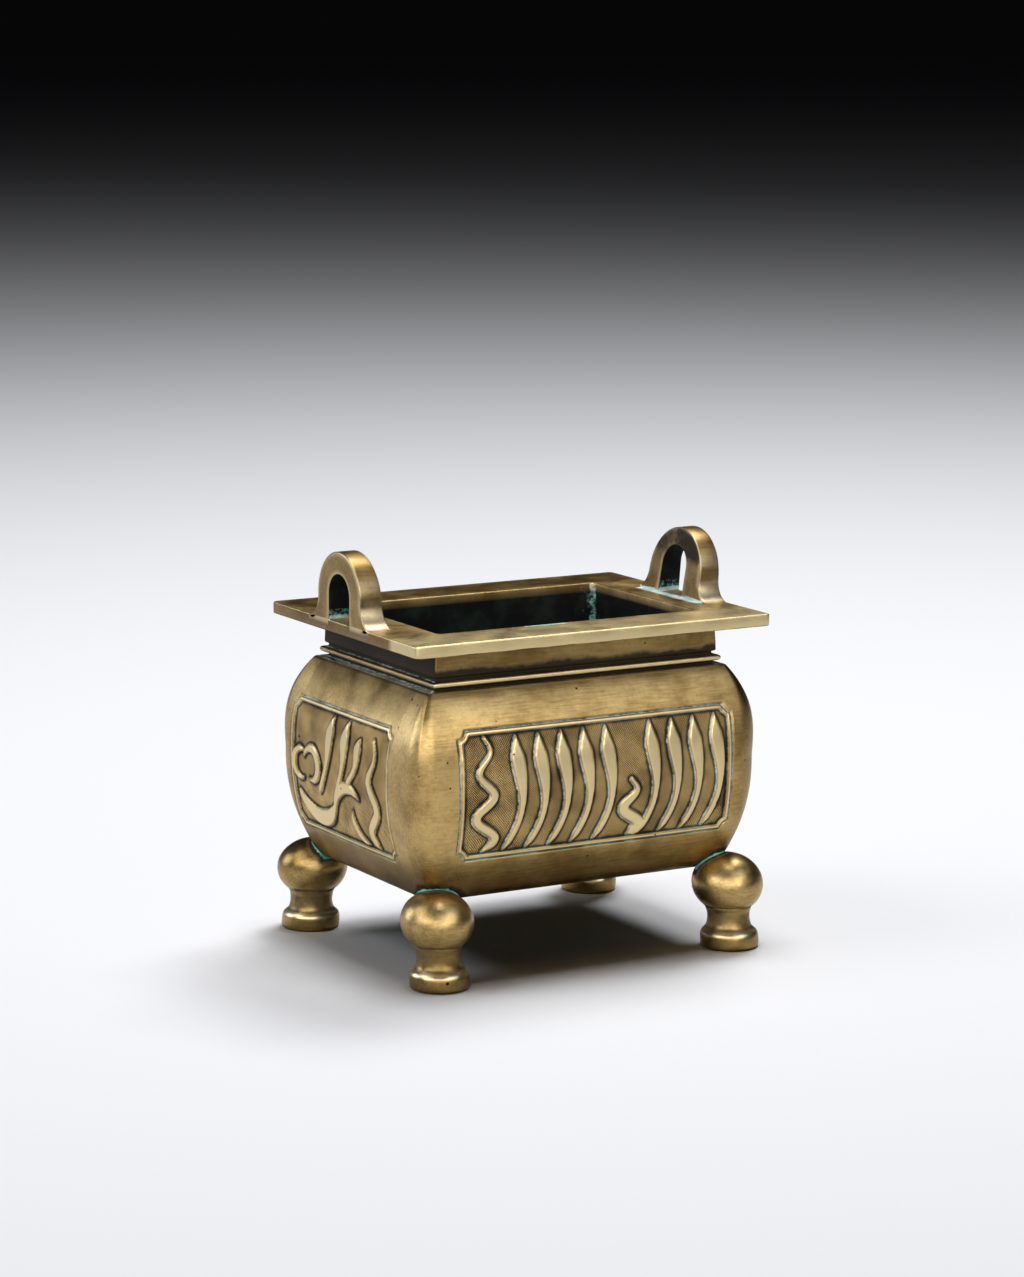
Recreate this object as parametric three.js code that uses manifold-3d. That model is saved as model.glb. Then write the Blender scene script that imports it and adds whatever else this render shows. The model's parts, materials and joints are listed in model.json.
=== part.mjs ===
// Bronze incense burner: a rectangular censer with a wide flat rim, two arched upright handles,
// a belly with a carved panel on each side, and four cast ball feet.
// Lengths are in millimetres and +Z is up. The origin is on the surface that the feet stand on,
// under the middle of the vessel. +X runs along the long side, and the front faces -Y.

import * as THREE from 'three';
import { mergeVertices } from 'three/addons/utils/BufferGeometryUtils.js';
import Module from 'manifold-3d';

// Rim: a flat plate around the mouth. Its length and width drive those of the whole vessel.
const rimLength = 160;
const rimWidth = 122;
const rimThickness = 4.8;
const rimTopHeight = 134.8;
const rimCornerRadius = 1.6;
const rimEdgeRound = 0.5;
const rimLandAtEnds = 21.65;
const rimLandAtSides = 21.95;
const mouthLength = rimLength - 2 * rimLandAtEnds;
const mouthWidth = rimWidth - 2 * rimLandAtSides;
const mouthCornerRadius = 2;

// Neck with two hollow grooves and a rounded fillet between them
const rimOverhangAtEnds = 16.3;
const rimOverhangAtSides = 15;
const neckLength = rimLength - 2 * rimOverhangAtEnds;
const neckWidth = rimWidth - 2 * rimOverhangAtSides;
const neckCornerRadius = 1.2;
const neckFlare = 0.4;
const neckDepth = 15.6;
const grooveHeight = 1.7;
const grooveDepth = 0.9;
const filletHeight = 2.2;
const filletReach = 1.9;

// Belly: it swells from the shoulder to its widest level and narrows to a flat bottom
const shoulderLedgeAtEnds = 4;
const shoulderLedgeAtSides = 2.5;
const swellAtEnds = 15.7;
const swellAtSides = 13.9;
const drawInAtEnds = 11.7;
const drawInAtSides = 11.6;
const shoulderLength = neckLength + 2 * shoulderLedgeAtEnds;
const shoulderWidth = neckWidth + 2 * shoulderLedgeAtSides;
const bellyLength = neckLength + 2 * swellAtEnds;
const bellyWidth = neckWidth + 2 * swellAtSides;
const bottomLength = bellyLength - 2 * drawInAtEnds;
const bottomWidth = bellyWidth - 2 * drawInAtSides;
const widestHeight = 76.8;
const bottomHeight = 31.6;
const shoulderRoundness = 2.68;
const underbellyRoundness = 2.15;
const longSideBulge = 0.9;
const shortSideBulge = 0.6;
const shoulderCornerRadius = 2;
const bellyCornerRadius = 12.3;
const bottomCornerRadius = 8;
const rightCornerSoftening = 2.4;
const cornerSharpening = 1.2;
const roundCornerTurn = Math.PI / 4;
const nearLeftCornerTurn = Math.PI / 6;
const bottomEdgeRound = 3;
const wallThickness = 6;
const floorThickness = 6;

// Arched handles, one upright on each end of the rim
const handleThickness = 10.4;
const archFootRadius = 8.8;
const holeSillHeight = 0.4;
const leftArch = { halfWidth: 18, springHeight: 9.8 };
const leftHole = { halfWidth: 8.4, springHeight: 10.4, shift: 0 };
const rightArch = { halfWidth: 19.2, springHeight: 8.9 };
const rightHole = { halfWidth: 8.6, springHeight: 12, shift: 1 };
const handles = [
  { side: -1, offset: 2.3, innerSlope: 0.06, skew: 0, arch: leftArch, hole: leftHole },
  { side: 1, offset: -2.7, innerSlope: 0.09, skew: -0.12, arch: rightArch, hole: rightHole },
];

// Feet: a disc, a waist and a ball under each corner
const footInsetAtEnds = 1.3;
const footOutsetAtSides = 6.7;
const footSpacingLength = bottomLength - 2 * footInsetAtEnds;
const footSpacingWidth = bottomWidth + 2 * footOutsetAtSides;
const footDiscRadius = 11.8;
const footDiscHeight = 7.2;
const footDiscEdge = 1.6;
const footWaistRadius = 8.7;
const footWaistHeight = 12.4;
const footCollarRadius = 9.3;
const footCollarHeight = 16.4;
const ballRadius = 14.7;
const ballHalfHeight = 12;
const ballHeight = 25.5;
const footInwardLean = 0.09;
const footSides = 12;
const castingGap = 0.3;

// Carved panels
const sidePanelMargin = 17.2;
const sidePanelLength = bellyLength - 2 * sidePanelMargin;
const sidePanelBottom = 48.2;
const sidePanelTop = 100.2;
const sidePanelShift = 1.8;
const endPanelMargin = 17.9;
const endPanelLength = bellyWidth - 2 * endPanelMargin;
const endPanelBottom = 45.4;
const endPanelTop = 99.6;
const endPanelShift = -4.5;
const panelNotch = 3.4;
const borderGroove = 0.9;
const borderFillet = 1.3;
const carvingDepth = 1;
const carvingReach = 8;
const strokeCrowding = 0.95;
const bladeDrift = 4.7;

// How finely curved surfaces are cut into flat facets
const cornerSteps = 4;
const longSideSteps = 2;
const shortSideSteps = 2;
const bellySteps = 8;
const hollowSteps = 5;
const footCurveSteps = 2;
const ballSteps = 7;
const roundSteps = 3;
const archSteps = 9;
const notchSteps = 2;
const bladeSteps = 7;
const crescentSteps = 7;
const ribbonStepsPerBend = 4;
const mergeTolerance = 1e-4;

const wasm = await Module();
wasm.setup();

const rimBottomHeight = rimTopHeight - rimThickness;
const neckBottomHeight = rimTopHeight - neckDepth;
const filletTopHeight = neckBottomHeight - grooveHeight;
const filletBottomHeight = filletTopHeight - filletHeight;
const shoulderHeight = filletBottomHeight - grooveHeight;

const bronze = new THREE.MeshStandardMaterial({ color: 0x9a7b48, roughness: 0.38, metalness: 0.9 });
const footBronze = new THREE.MeshStandardMaterial({ color: 0xa58347, roughness: 0.34, metalness: 0.9 });

// A geometry with its shared corners merged, which a closed solid needs
function mergedGeometry(geometry) {
  const bare = geometry.clone();
  bare.deleteAttribute('normal');
  bare.deleteAttribute('uv');
  return mergeVertices(bare, mergeTolerance);
}

function solidFrom(geometry) {
  const merged = mergedGeometry(geometry);
  return new wasm.Manifold(new wasm.Mesh({
    numProp: 3,
    vertProperties: new Float32Array(merged.attributes.position.array),
    triVerts: new Uint32Array(merged.index.array),
  }));
}

function geometryFrom(solid) {
  const mesh = solid.getMesh();
  const geometry = new THREE.BufferGeometry();
  geometry.setAttribute('position', new THREE.BufferAttribute(new Float32Array(mesh.vertProperties), 3));
  geometry.setIndex(new THREE.BufferAttribute(new Uint32Array(mesh.triVerts), 1));
  geometry.computeVertexNormals();
  return geometry;
}

// A place on a corner's curve, in shares of its radius. A turn of 45 degrees to its middle makes a
// quarter circle, and a smaller turn leaves an edge down the middle.
function cornerPlace(share, turn) {
  const firstHalf = share <= 0.5;
  const angle = 2 * turn * (firstHalf ? share : 1 - share);
  const bow = 1 / (Math.sin(turn) + 1 - Math.cos(turn));
  const outwards = 1 - bow * (1 - Math.cos(angle));
  const sideways = bow * Math.sin(angle);
  return firstHalf ? [outwards, sideways] : [sideways, outwards];
}

// A rectangle seen from above, with round corners and sides that bulge by a small arc. The corners
// on the right can be rounder than those on the left, and the near left one can keep an edge.
function planRing({
  halfLength, halfWidth, radius, softening = 0, longBulge = 0, shortBulge = 0, turn = roundCornerTurn,
}) {
  const ring = [];
  for (let quarter = 0; quarter < 4; quarter += 1) {
    const signX = quarter === 0 || quarter === 3 ? 1 : -1;
    const signY = quarter < 2 ? 1 : -1;
    const cornerRadius = signX > 0 ? radius + softening : radius;
    const straightX = halfLength - cornerRadius;
    const straightY = halfWidth - cornerRadius;
    for (let step = 0; step <= cornerSteps; step += 1) {
      const [u, v] = cornerPlace(step / cornerSteps, quarter === 2 ? turn : roundCornerTurn);
      const [x, y] = [[u, v], [-v, u], [-u, -v], [v, -u]][quarter];
      ring.push([signX * straightX + cornerRadius * x, signY * straightY + cornerRadius * y]);
    }
    const alongX = quarter % 2 === 0;
    const steps = alongX ? longSideSteps : shortSideSteps;
    for (let step = 1; step < steps; step += 1) {
      const share = 1 - 2 * step / steps;
      const swell = 1 - share * share;
      if (alongX) {
        ring.push([signX * share * straightX, signY * (halfWidth + longBulge * swell)]);
      } else {
        ring.push([signX * (halfLength + shortBulge * swell), signY * share * straightY]);
      }
    }
  }
  return ring;
}

// A closed skin through rings of equal point counts, from the lowest level to the highest
function loft(levels) {
  const positions = [];
  const index = [];
  const count = levels[0].ring.length;
  for (const { height, ring } of levels) {
    for (const [x, y] of ring) {
      positions.push(x, y, height);
    }
  }
  for (let level = 0; level < levels.length - 1; level += 1) {
    for (let point = 0; point < count; point += 1) {
      const next = (point + 1) % count;
      const low = level * count;
      const high = low + count;
      index.push(low + point, low + next, high + next);
      index.push(low + point, high + next, high + point);
    }
  }
  const bottomCentre = positions.length / 3;
  const topCentre = bottomCentre + 1;
  const topStart = (levels.length - 1) * count;
  positions.push(0, 0, levels[0].height);
  positions.push(0, 0, levels[levels.length - 1].height);
  for (let point = 0; point < count; point += 1) {
    const next = (point + 1) % count;
    index.push(bottomCentre, next, point);
    index.push(topCentre, topStart + point, topStart + next);
  }
  const geometry = new THREE.BufferGeometry();
  geometry.setAttribute('position', new THREE.Float32BufferAttribute(positions, 3));
  geometry.setIndex(index);
  return geometry;
}

// The belly's half sizes at a height: full at the widest level, less above and below it
function bellyAt(height) {
  const above = height > widestHeight;
  const reach = above ? shoulderHeight - widestHeight : widestHeight - bottomHeight;
  const share = Math.min(Math.abs(height - widestHeight) / reach, 1);
  const loss = share ** (above ? shoulderRoundness : underbellyRoundness);
  const endLength = above ? shoulderLength : bottomLength;
  const endWidth = above ? shoulderWidth : bottomWidth;
  const endRadius = above ? shoulderCornerRadius : bottomCornerRadius;
  return {
    halfLength: (bellyLength - (bellyLength - endLength) * loss) / 2,
    halfWidth: (bellyWidth - (bellyWidth - endWidth) * loss) / 2,
    radius: bellyCornerRadius - (bellyCornerRadius - endRadius) * share ** cornerSharpening,
    softening: rightCornerSoftening * (1 - loss),
    longBulge: longSideBulge * (1 - loss),
    shortBulge: shortSideBulge * (1 - loss),
    turn: nearLeftCornerTurn,
  };
}

// The same belly section, drawn in all round by an amount
function insetSection(section, inset) {
  return {
    ...section,
    halfLength: section.halfLength - inset,
    halfWidth: section.halfWidth - inset,
    radius: Math.max(section.radius - inset, 1),
  };
}

// Heights of the belly's facets, closer together where it curves faster, at both ends
function bellyHeights(low, high, steps) {
  const heights = [];
  for (let step = 0; step <= steps; step += 1) {
    const share = (1 - Math.cos(step / steps * Math.PI)) / 2;
    const even = step / steps;
    heights.push(low + (high - low) * (share + even) / 2);
  }
  return heights;
}

// The neck's section with its outside moved out by an amount
function neckSection(offset) {
  return {
    halfLength: neckLength / 2 + offset,
    halfWidth: neckWidth / 2 + offset,
    radius: neckCornerRadius,
  };
}

// The outside of belly and neck as one solid, grown all round by a clearance
function bodyOutside(clearance = 0) {
  const levels = [];
  const addLevel = (height, section) => {
    levels.push({ height, ring: planRing(insetSection(section, -clearance)) });
  };
  for (let step = 0; step < roundSteps; step += 1) {
    const angle = step / roundSteps * Math.PI / 2;
    const height = bottomHeight + bottomEdgeRound * (1 - Math.cos(angle));
    const inset = bottomEdgeRound * (1 - Math.sin(angle));
    addLevel(height - clearance, insetSection(bellyAt(height), inset));
  }
  for (const height of bellyHeights(bottomHeight + bottomEdgeRound, shoulderHeight, bellySteps)) {
    addLevel(height, bellyAt(height));
  }
  addLevel(shoulderHeight + grooveHeight / 2, neckSection(-grooveDepth / 2));
  addLevel(filletBottomHeight, neckSection(filletReach / 3));
  addLevel(filletBottomHeight + filletHeight / 3, neckSection(filletReach));
  addLevel(filletTopHeight - filletHeight / 3, neckSection(filletReach));
  addLevel(filletTopHeight, neckSection(0));
  addLevel(filletTopHeight + grooveHeight / 2, neckSection(-grooveDepth));
  addLevel(neckBottomHeight, neckSection(neckFlare));
  addLevel(rimBottomHeight + rimThickness / 2, neckSection(0));
  return solidFrom(loft(levels));
}

// The room inside: the belly's shape drawn in by the wall, then the straight mouth
function hollow() {
  const levels = [];
  const floorHeight = bottomHeight + floorThickness;
  const roofHeight = shoulderHeight - wallThickness / 3;
  for (const height of bellyHeights(floorHeight, roofHeight, hollowSteps)) {
    const section = insetSection(bellyAt(height), wallThickness);
    levels.push({ height, ring: planRing(section) });
  }
  const mouth = { halfLength: mouthLength / 2, halfWidth: mouthWidth / 2, radius: mouthCornerRadius };
  levels.push({ height: shoulderHeight + grooveHeight, ring: planRing(mouth) });
  levels.push({ height: rimTopHeight + rimThickness, ring: planRing(mouth) });
  return solidFrom(loft(levels));
}

// The rim plate with slightly softened edges
function rimPlate() {
  const section = (inset) => planRing({
    halfLength: rimLength / 2 - inset,
    halfWidth: rimWidth / 2 - inset,
    radius: rimCornerRadius,
  });
  return solidFrom(loft([
    { height: rimBottomHeight, ring: section(rimEdgeRound) },
    { height: rimBottomHeight + rimEdgeRound, ring: section(0) },
    { height: rimTopHeight - rimEdgeRound, ring: section(0) },
    { height: rimTopHeight, ring: section(rimEdgeRound) },
  ]));
}

// An upright arch whose feet sweep out onto the rim, with an arched hole through it
function handleArch({ side, offset, innerSlope, skew, arch, hole }) {
  const outline = new THREE.Shape();
  const sweepReach = arch.halfWidth + archFootRadius;
  outline.moveTo(-sweepReach, -rimThickness / 2);
  outline.lineTo(sweepReach, -rimThickness / 2);
  outline.lineTo(sweepReach, 0);
  outline.absarc(sweepReach, archFootRadius, archFootRadius, -Math.PI / 2, -Math.PI, true);
  outline.absarc(0, arch.springHeight, arch.halfWidth, 0, Math.PI, false);
  outline.absarc(-sweepReach, archFootRadius, archFootRadius, 0, -Math.PI / 2, true);
  outline.closePath();
  const opening = new THREE.Path();
  opening.moveTo(hole.shift - hole.halfWidth, holeSillHeight);
  opening.lineTo(hole.shift + hole.halfWidth, holeSillHeight);
  opening.absarc(hole.shift, hole.springHeight, hole.halfWidth, 0, Math.PI, false);
  opening.closePath();
  outline.holes.push(opening);
  const geometry = new THREE.ExtrudeGeometry(outline, {
    depth: handleThickness, bevelEnabled: false, curveSegments: archSteps,
  });
  const position = geometry.attributes.position;
  for (let vertex = 0; vertex < position.count; vertex += 1) {
    const across = position.getX(vertex);
    const up = position.getY(vertex);
    const inward = position.getZ(vertex);
    const rise = Math.max(up, 0);
    const thinning = inward > 0 ? innerSlope * rise : 0;
    position.setXYZ(
      vertex,
      side * (rimLength / 2 - inward + thinning),
      side * across + offset + skew * rise,
      rimTopHeight + up,
    );
  }
  // Measuring inwards from the outer face mirrors the arch, so its faces are turned round
  const flat = mergedGeometry(geometry);
  const corners = flat.index.array;
  for (let face = 0; face < corners.length; face += 3) {
    [corners[face], corners[face + 1]] = [corners[face + 1], corners[face]];
  }
  return solidFrom(flat);
}

// A panel outline with a small hollow bite out of each corner
function panelOutline(halfLength, bottom, top, inset) {
  const shape = new THREE.Shape();
  const right = halfLength - inset;
  const low = bottom + inset;
  const high = top - inset;
  const notch = panelNotch;
  shape.moveTo(-right + notch, low);
  shape.lineTo(right - notch, low);
  shape.absarc(right, low, notch, Math.PI, Math.PI / 2, true);
  shape.lineTo(right, high - notch);
  shape.absarc(right, high, notch, -Math.PI / 2, -Math.PI, true);
  shape.lineTo(-right + notch, high);
  shape.absarc(-right, high, notch, 0, -Math.PI / 2, true);
  shape.lineTo(-right, low + notch);
  shape.absarc(-right, low, notch, Math.PI / 2, 0, true);
  return shape;
}

// A stroke's outline from its centre line and its half width, both functions of 0 to 1
function strokeOutline(centre, halfWidth, steps) {
  const left = [];
  const right = [];
  const small = 1e-3;
  for (let step = 0; step <= steps; step += 1) {
    const share = step / steps;
    const [x, y] = centre(share);
    const [aheadX, aheadY] = centre(share + small);
    const length = Math.hypot(aheadX - x, aheadY - y);
    const normalX = -(aheadY - y) / length;
    const normalY = (aheadX - x) / length;
    const half = halfWidth(share);
    left.push(new THREE.Vector2(x + normalX * half, y + normalY * half));
    if (half > 0.05) {
      right.unshift(new THREE.Vector2(x - normalX * half, y - normalY * half));
    }
  }
  return new THREE.Shape([...left, ...right]);
}

// A share that eases from 0 to 1 between two places
function ease(from, to, place) {
  return THREE.MathUtils.smoothstep(place, from, to);
}

// A tall blade: a spear point on top, widest near its top, then a slim tail that drifts aside
function blade({ x, top, bottom, width, hook = 4.6, lean = 0 }) {
  const sway = 1.2;
  const tailHalf = 1.2;
  const centre = (share) => [
    x + sway * Math.sin(2 * Math.PI * (share - 0.32)) - hook * share ** 7 + lean * (0.5 - share),
    top + (bottom - top) * share,
  ];
  const halfWidth = (share) => {
    const body = THREE.MathUtils.lerp(width / 2, tailHalf, ease(0.2, 0.68, share));
    return body * Math.min(1, (share / 0.2) ** 0.8) * (1 - 0.6 * ease(0.93, 1, share));
  };
  return strokeOutline(centre, halfWidth, bladeSteps);
}

// A ribbon that winds from side to side on its way down, in wider and wider bends
function ribbon({ x, top, bottom, width, swing, bends }) {
  const centre = (share) => [
    x + swing * (0.4 + 0.6 * share) * Math.sin(share * bends * Math.PI),
    top + (bottom - top) * share,
  ];
  const halfWidth = (share) => {
    const body = width / 2 * (0.35 + 0.65 * ease(0, 0.6, share));
    return body * (1 - 0.7 * ease(0.94, 1, share));
  };
  return strokeOutline(centre, halfWidth, ribbonStepsPerBend * bends);
}

// A crescent along an arc, thick in the middle and pointed at both ends
function crescent({ x, y, radius, from, to, width }) {
  const centre = (share) => {
    const angle = THREE.MathUtils.degToRad(from + (to - from) * share);
    return [x + radius * Math.cos(angle), y + radius * Math.sin(angle)];
  };
  const halfWidth = (share) => width / 2 * Math.sin(share * Math.PI) ** 0.7;
  return strokeOutline(centre, halfWidth, crescentSteps);
}

const strokeMargin = borderGroove + borderFillet + 1.6;

// A row of upright blades, evenly spaced, with a winding ribbon in the places listed
function strokeRow({ length, bottom, top, count, ribbonPlaces, shortRibbonPlaces }) {
  const pitch = strokeCrowding * (length - 2 * strokeMargin) / count;
  const reach = { top: top - strokeMargin, bottom: bottom + strokeMargin };
  const middle = (bottom + top) / 2;
  const strokes = [];
  for (let place = 0; place < count; place += 1) {
    const x = (place - (count - 1) / 2) * pitch;
    if (ribbonPlaces.includes(place)) {
      strokes.push(ribbon({ x, ...reach, width: 3.4, swing: 5, bends: 5 }));
    } else if (shortRibbonPlaces.includes(place)) {
      strokes.push(ribbon({ x: x + bladeDrift, ...reach, top: middle, width: 4.4, swing: 5, bends: 3 }));
    } else {
      strokes.push(blade({ x: x + bladeDrift, ...reach, width: 5.8 }));
    }
  }
  return strokes;
}

// Near end: tall blades over a deep crescent, with loops on one side and a ribbon on the other
function endStrokes({ bottom, top }) {
  const high = top - strokeMargin;
  const low = bottom + strokeMargin;
  const middle = (bottom + top) / 2;
  return [
    blade({ x: -10, top: high, bottom: middle - 9, width: 5.6, hook: 1, lean: 10 }),
    blade({ x: 3, top: high, bottom: middle - 9, width: 5.6, hook: 1, lean: 9 }),
    blade({ x: 14, top: high - 5, bottom: middle - 1, width: 4.6, hook: 1, lean: 9 }),
    crescent({ x: -20, y: middle - 1, radius: 19, from: 212, to: 328, width: 7 }),
    ribbon({ x: 28, top: high - 4, bottom: low, width: 4, swing: 4.2, bends: 4 }),
    crescent({ x: -24, y: middle + 1, radius: 6.5, from: -110, to: 160, width: 3.8 }),
    crescent({ x: -33, y: middle, radius: 6, from: 60, to: 290, width: 3.4 }),
    crescent({ x: 8, y: middle - 16, radius: 13, from: 50, to: 175, width: 4.4 }),
    crescent({ x: 20, y: low + 10, radius: 10, from: 170, to: 270, width: 3.4 }),
  ];
}

// Far end: four plain blades over a crescent
function farEndStrokes({ bottom, top }) {
  const middle = (bottom + top) / 2;
  const strokes = [crescent({ x: 0, y: middle + 4, radius: 24, from: 215, to: 325, width: 6 })];
  for (let place = 0; place < 4; place += 1) {
    const x = (place - 1.5) * 16;
    const foot = Math.abs(x) > 16 ? middle + 3 : middle - 9;
    strokes.push(blade({ x, top: top - strokeMargin, bottom: foot, width: 5.6, hook: 2 }));
  }
  return strokes;
}

// A prism that runs from inside the wall out past the surface, over one side of the belly
function sidePrism(shape, { right, outward, half, shift }) {
  const geometry = new THREE.ExtrudeGeometry(shape, {
    depth: 3 * carvingReach, bevelEnabled: false, curveSegments: notchSteps,
  });
  geometry.translate(shift, 0, half - 2 * carvingReach);
  geometry.applyMatrix4(new THREE.Matrix4().makeBasis(right, new THREE.Vector3(0, 0, 1), outward));
  return solidFrom(geometry);
}

// What is cut away for one panel: a border groove and the sunk ground around the strokes
function panelCut({ side, length, bottom, top, strokes }, sunkBody) {
  const outline = (inset) => sidePrism(panelOutline(length / 2, bottom, top, inset), side);
  const fillet = outline(borderGroove).subtract(outline(borderGroove + borderFillet));
  let cut = outline(0).subtract(sunkBody).subtract(fillet);
  for (const stroke of strokes) {
    cut = cut.subtract(sidePrism(stroke, side));
  }
  return cut;
}

const sidePanel = { length: sidePanelLength, bottom: sidePanelBottom, top: sidePanelTop };
const endPanel = { length: endPanelLength, bottom: endPanelBottom, top: endPanelTop };
const alongX = new THREE.Vector3(1, 0, 0);
const alongY = new THREE.Vector3(0, 1, 0);
const panels = [
  {
    ...sidePanel,
    side: {
      right: alongX,
      outward: alongY.clone().negate(),
      half: bellyWidth / 2,
      shift: sidePanelShift,
    },
    strokes: strokeRow({ ...sidePanel, count: 11, ribbonPlaces: [0], shortRibbonPlaces: [6] }),
  },
  {
    ...endPanel,
    side: {
      right: alongY.clone().negate(),
      outward: alongX.clone().negate(),
      half: bellyLength / 2,
      shift: endPanelShift,
    },
    strokes: endStrokes(endPanel),
  },
  {
    ...sidePanel,
    side: { right: alongX.clone().negate(), outward: alongY, half: bellyWidth / 2, shift: 0 },
    strokes: strokeRow({ ...sidePanel, count: 8, ribbonPlaces: [], shortRibbonPlaces: [] }),
  },
  {
    ...endPanel,
    side: { right: alongY, outward: alongX, half: bellyLength / 2, shift: 0 },
    strokes: farEndStrokes(endPanel),
  },
];

// The belly drawn in by the depth of the carving, which is the floor of every panel
function sunkBelly() {
  const levels = bellyHeights(bottomHeight + bottomEdgeRound, shoulderHeight, bellySteps).map((height) => ({
    height,
    ring: planRing(insetSection(bellyAt(height), carvingDepth)),
  }));
  return solidFrom(loft(levels));
}

function vessel() {
  let solid = bodyOutside().add(rimPlate());
  for (const handle of handles) {
    solid = solid.add(handleArch(handle));
  }
  solid = solid.subtract(hollow());
  const sunkBody = sunkBelly();
  for (const panel of panels) {
    solid = solid.subtract(panelCut(panel, sunkBody));
  }
  return solid;
}

// Half of a foot's outline: disc, hollow waist, collar and ball, from the floor to the top
function footProfile() {
  const lower = new THREE.Path();
  lower.moveTo(0, 0);
  lower.lineTo(footDiscRadius - footDiscEdge, 0);
  lower.quadraticCurveTo(footDiscRadius, 0, footDiscRadius, footDiscEdge);
  lower.lineTo(footDiscRadius, footDiscHeight - 2 * footDiscEdge);
  lower.quadraticCurveTo(footDiscRadius, footDiscHeight, footDiscRadius - footDiscEdge, footDiscHeight);
  lower.quadraticCurveTo(footWaistRadius, footDiscHeight + footDiscEdge, footWaistRadius, footWaistHeight);
  const points = lower.getPoints(footCurveSteps);
  points.push(new THREE.Vector2(footCollarRadius, footCollarHeight));
  const start = Math.asin((ballHeight - footCollarHeight) / ballHalfHeight);
  for (let step = 1; step <= ballSteps; step += 1) {
    const angle = -start + (Math.PI / 2 + start) * step / ballSteps;
    const radius = step < ballSteps ? ballRadius * Math.cos(angle) : 0;
    points.push(new THREE.Vector2(radius, ballHeight + ballHalfHeight * Math.sin(angle)));
  }
  return points;
}

function foot(sideX, sideY, bodyRoom) {
  const geometry = new THREE.LatheGeometry(footProfile(), footSides);
  geometry.rotateX(Math.PI / 2);
  const lean = new THREE.Matrix4().makeShear(0, 0, 0, 0, 0, -sideY * footInwardLean);
  geometry.applyMatrix4(lean);
  geometry.translate(sideX * footSpacingLength / 2, sideY * footSpacingWidth / 2, 0);
  return solidFrom(geometry).subtract(bodyRoom);
}

function namedMesh(name, solid, material) {
  const mesh = new THREE.Mesh(geometryFrom(solid), material);
  mesh.name = name;
  return mesh;
}

const burner = new THREE.Group();
burner.add(namedMesh('vessel', vessel(), bronze));
const bodyRoom = bodyOutside(castingGap);
for (const [across, sideX] of [['left', -1], ['right', 1]]) {
  for (const [along, sideY] of [['front', -1], ['back', 1]]) {
    burner.add(namedMesh(`foot_${along}_${across}`, foot(sideX, sideY, bodyRoom), footBronze));
  }
}

export default burner;
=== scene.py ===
"""Bronze incense burner: a rectangular cast censer with a wide flat rim, two upright arched handles,
carved panels on a swelling belly, and four ball feet. Sizes inside the functions are in millimetres."""

import json
import math
from functools import partial

import bmesh
import bpy
import numpy as np
from mathutils import Matrix, Vector

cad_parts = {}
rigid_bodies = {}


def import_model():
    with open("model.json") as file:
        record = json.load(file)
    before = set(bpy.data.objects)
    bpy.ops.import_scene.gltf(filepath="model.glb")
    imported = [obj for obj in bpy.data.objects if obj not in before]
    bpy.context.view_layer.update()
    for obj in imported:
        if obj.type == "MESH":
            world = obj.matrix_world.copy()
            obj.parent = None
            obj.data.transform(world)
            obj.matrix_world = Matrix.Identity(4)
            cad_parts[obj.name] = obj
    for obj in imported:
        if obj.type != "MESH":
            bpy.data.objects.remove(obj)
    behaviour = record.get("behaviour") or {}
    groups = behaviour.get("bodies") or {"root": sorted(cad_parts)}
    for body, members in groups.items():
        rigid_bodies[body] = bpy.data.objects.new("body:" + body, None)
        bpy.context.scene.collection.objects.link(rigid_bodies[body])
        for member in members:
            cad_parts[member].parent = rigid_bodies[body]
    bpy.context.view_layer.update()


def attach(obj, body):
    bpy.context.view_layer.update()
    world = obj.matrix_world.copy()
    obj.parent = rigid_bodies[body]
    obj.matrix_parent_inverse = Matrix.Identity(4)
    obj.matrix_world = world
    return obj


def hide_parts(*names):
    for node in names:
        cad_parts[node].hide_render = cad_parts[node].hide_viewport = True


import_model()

bl_info = {
    "name": "Bronze incense burner",
    "version": (1, 0, 0),
    "blender": (4, 5, 0),
    "location": "View3D > Sidebar > Burner",
    "description": "Builds a cast bronze incense burner and its studio stage",
    "category": "Add Mesh",
}

MM = 0.001
WELD = 1e-4

# Rim and mouth
RIM_HALF = (80.0, 61.0)
RIM_TOP = 134.8
RIM_BOTTOM = 130.0
RIM_CORNER = 1.9
MOUTH_HALF = (58.35, 39.05)
MOUTH_CORNER = 2.4

# Neck: its half sizes and the heights of its two grooves and the fillet between them
NECK_HALF = (63.7, 46.0)
NECK_CORNER = 1.2
UPPER_GROOVE = (117.5, 119.2)
LOWER_GROOVE = (113.6, 115.3)
SHOULDER_TOP = 113.6

# Belly: half length, half width and corner radius at the shoulder, the widest level and the bottom.
# Its spans are where each ends and how many rings it has. The powers say how it narrows
SHOULDER = (67.7, 48.5, 2.0)
WIDEST = (79.4, 59.9, 12.3)
BOTTOM = (67.7, 48.3, 8.0)
CORNER_SHARPENING = 1.2
NEAR_LEFT_TURN = math.pi / 6
RIGHT_CORNER_SOFTENING = 2.4
WIDEST_HEIGHT = 76.8
BOTTOM_HEIGHT = 31.6
BOTTOM_ROUND = 3.0
BELLY_SPANS = ((44.9, 9), (51.1, 18), (96.8, 74), (100.8, 12), (110.5, 11),
               (SHOULDER_TOP - 0.35, 6))
SHOULDER_POWER = 2.68
UNDERBELLY_POWER = 2.15
BULGES = (0.9, 0.6)
WALL = 6.0
FLOOR_HEIGHT = 37.6

# Roundings of the rim's edges and the mouth's lip, and the fillet round the floor inside
EDGE_ROUND = 0.55
LIP_ROUND = 0.5
FLOOR_FILLET = 1.4

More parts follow.
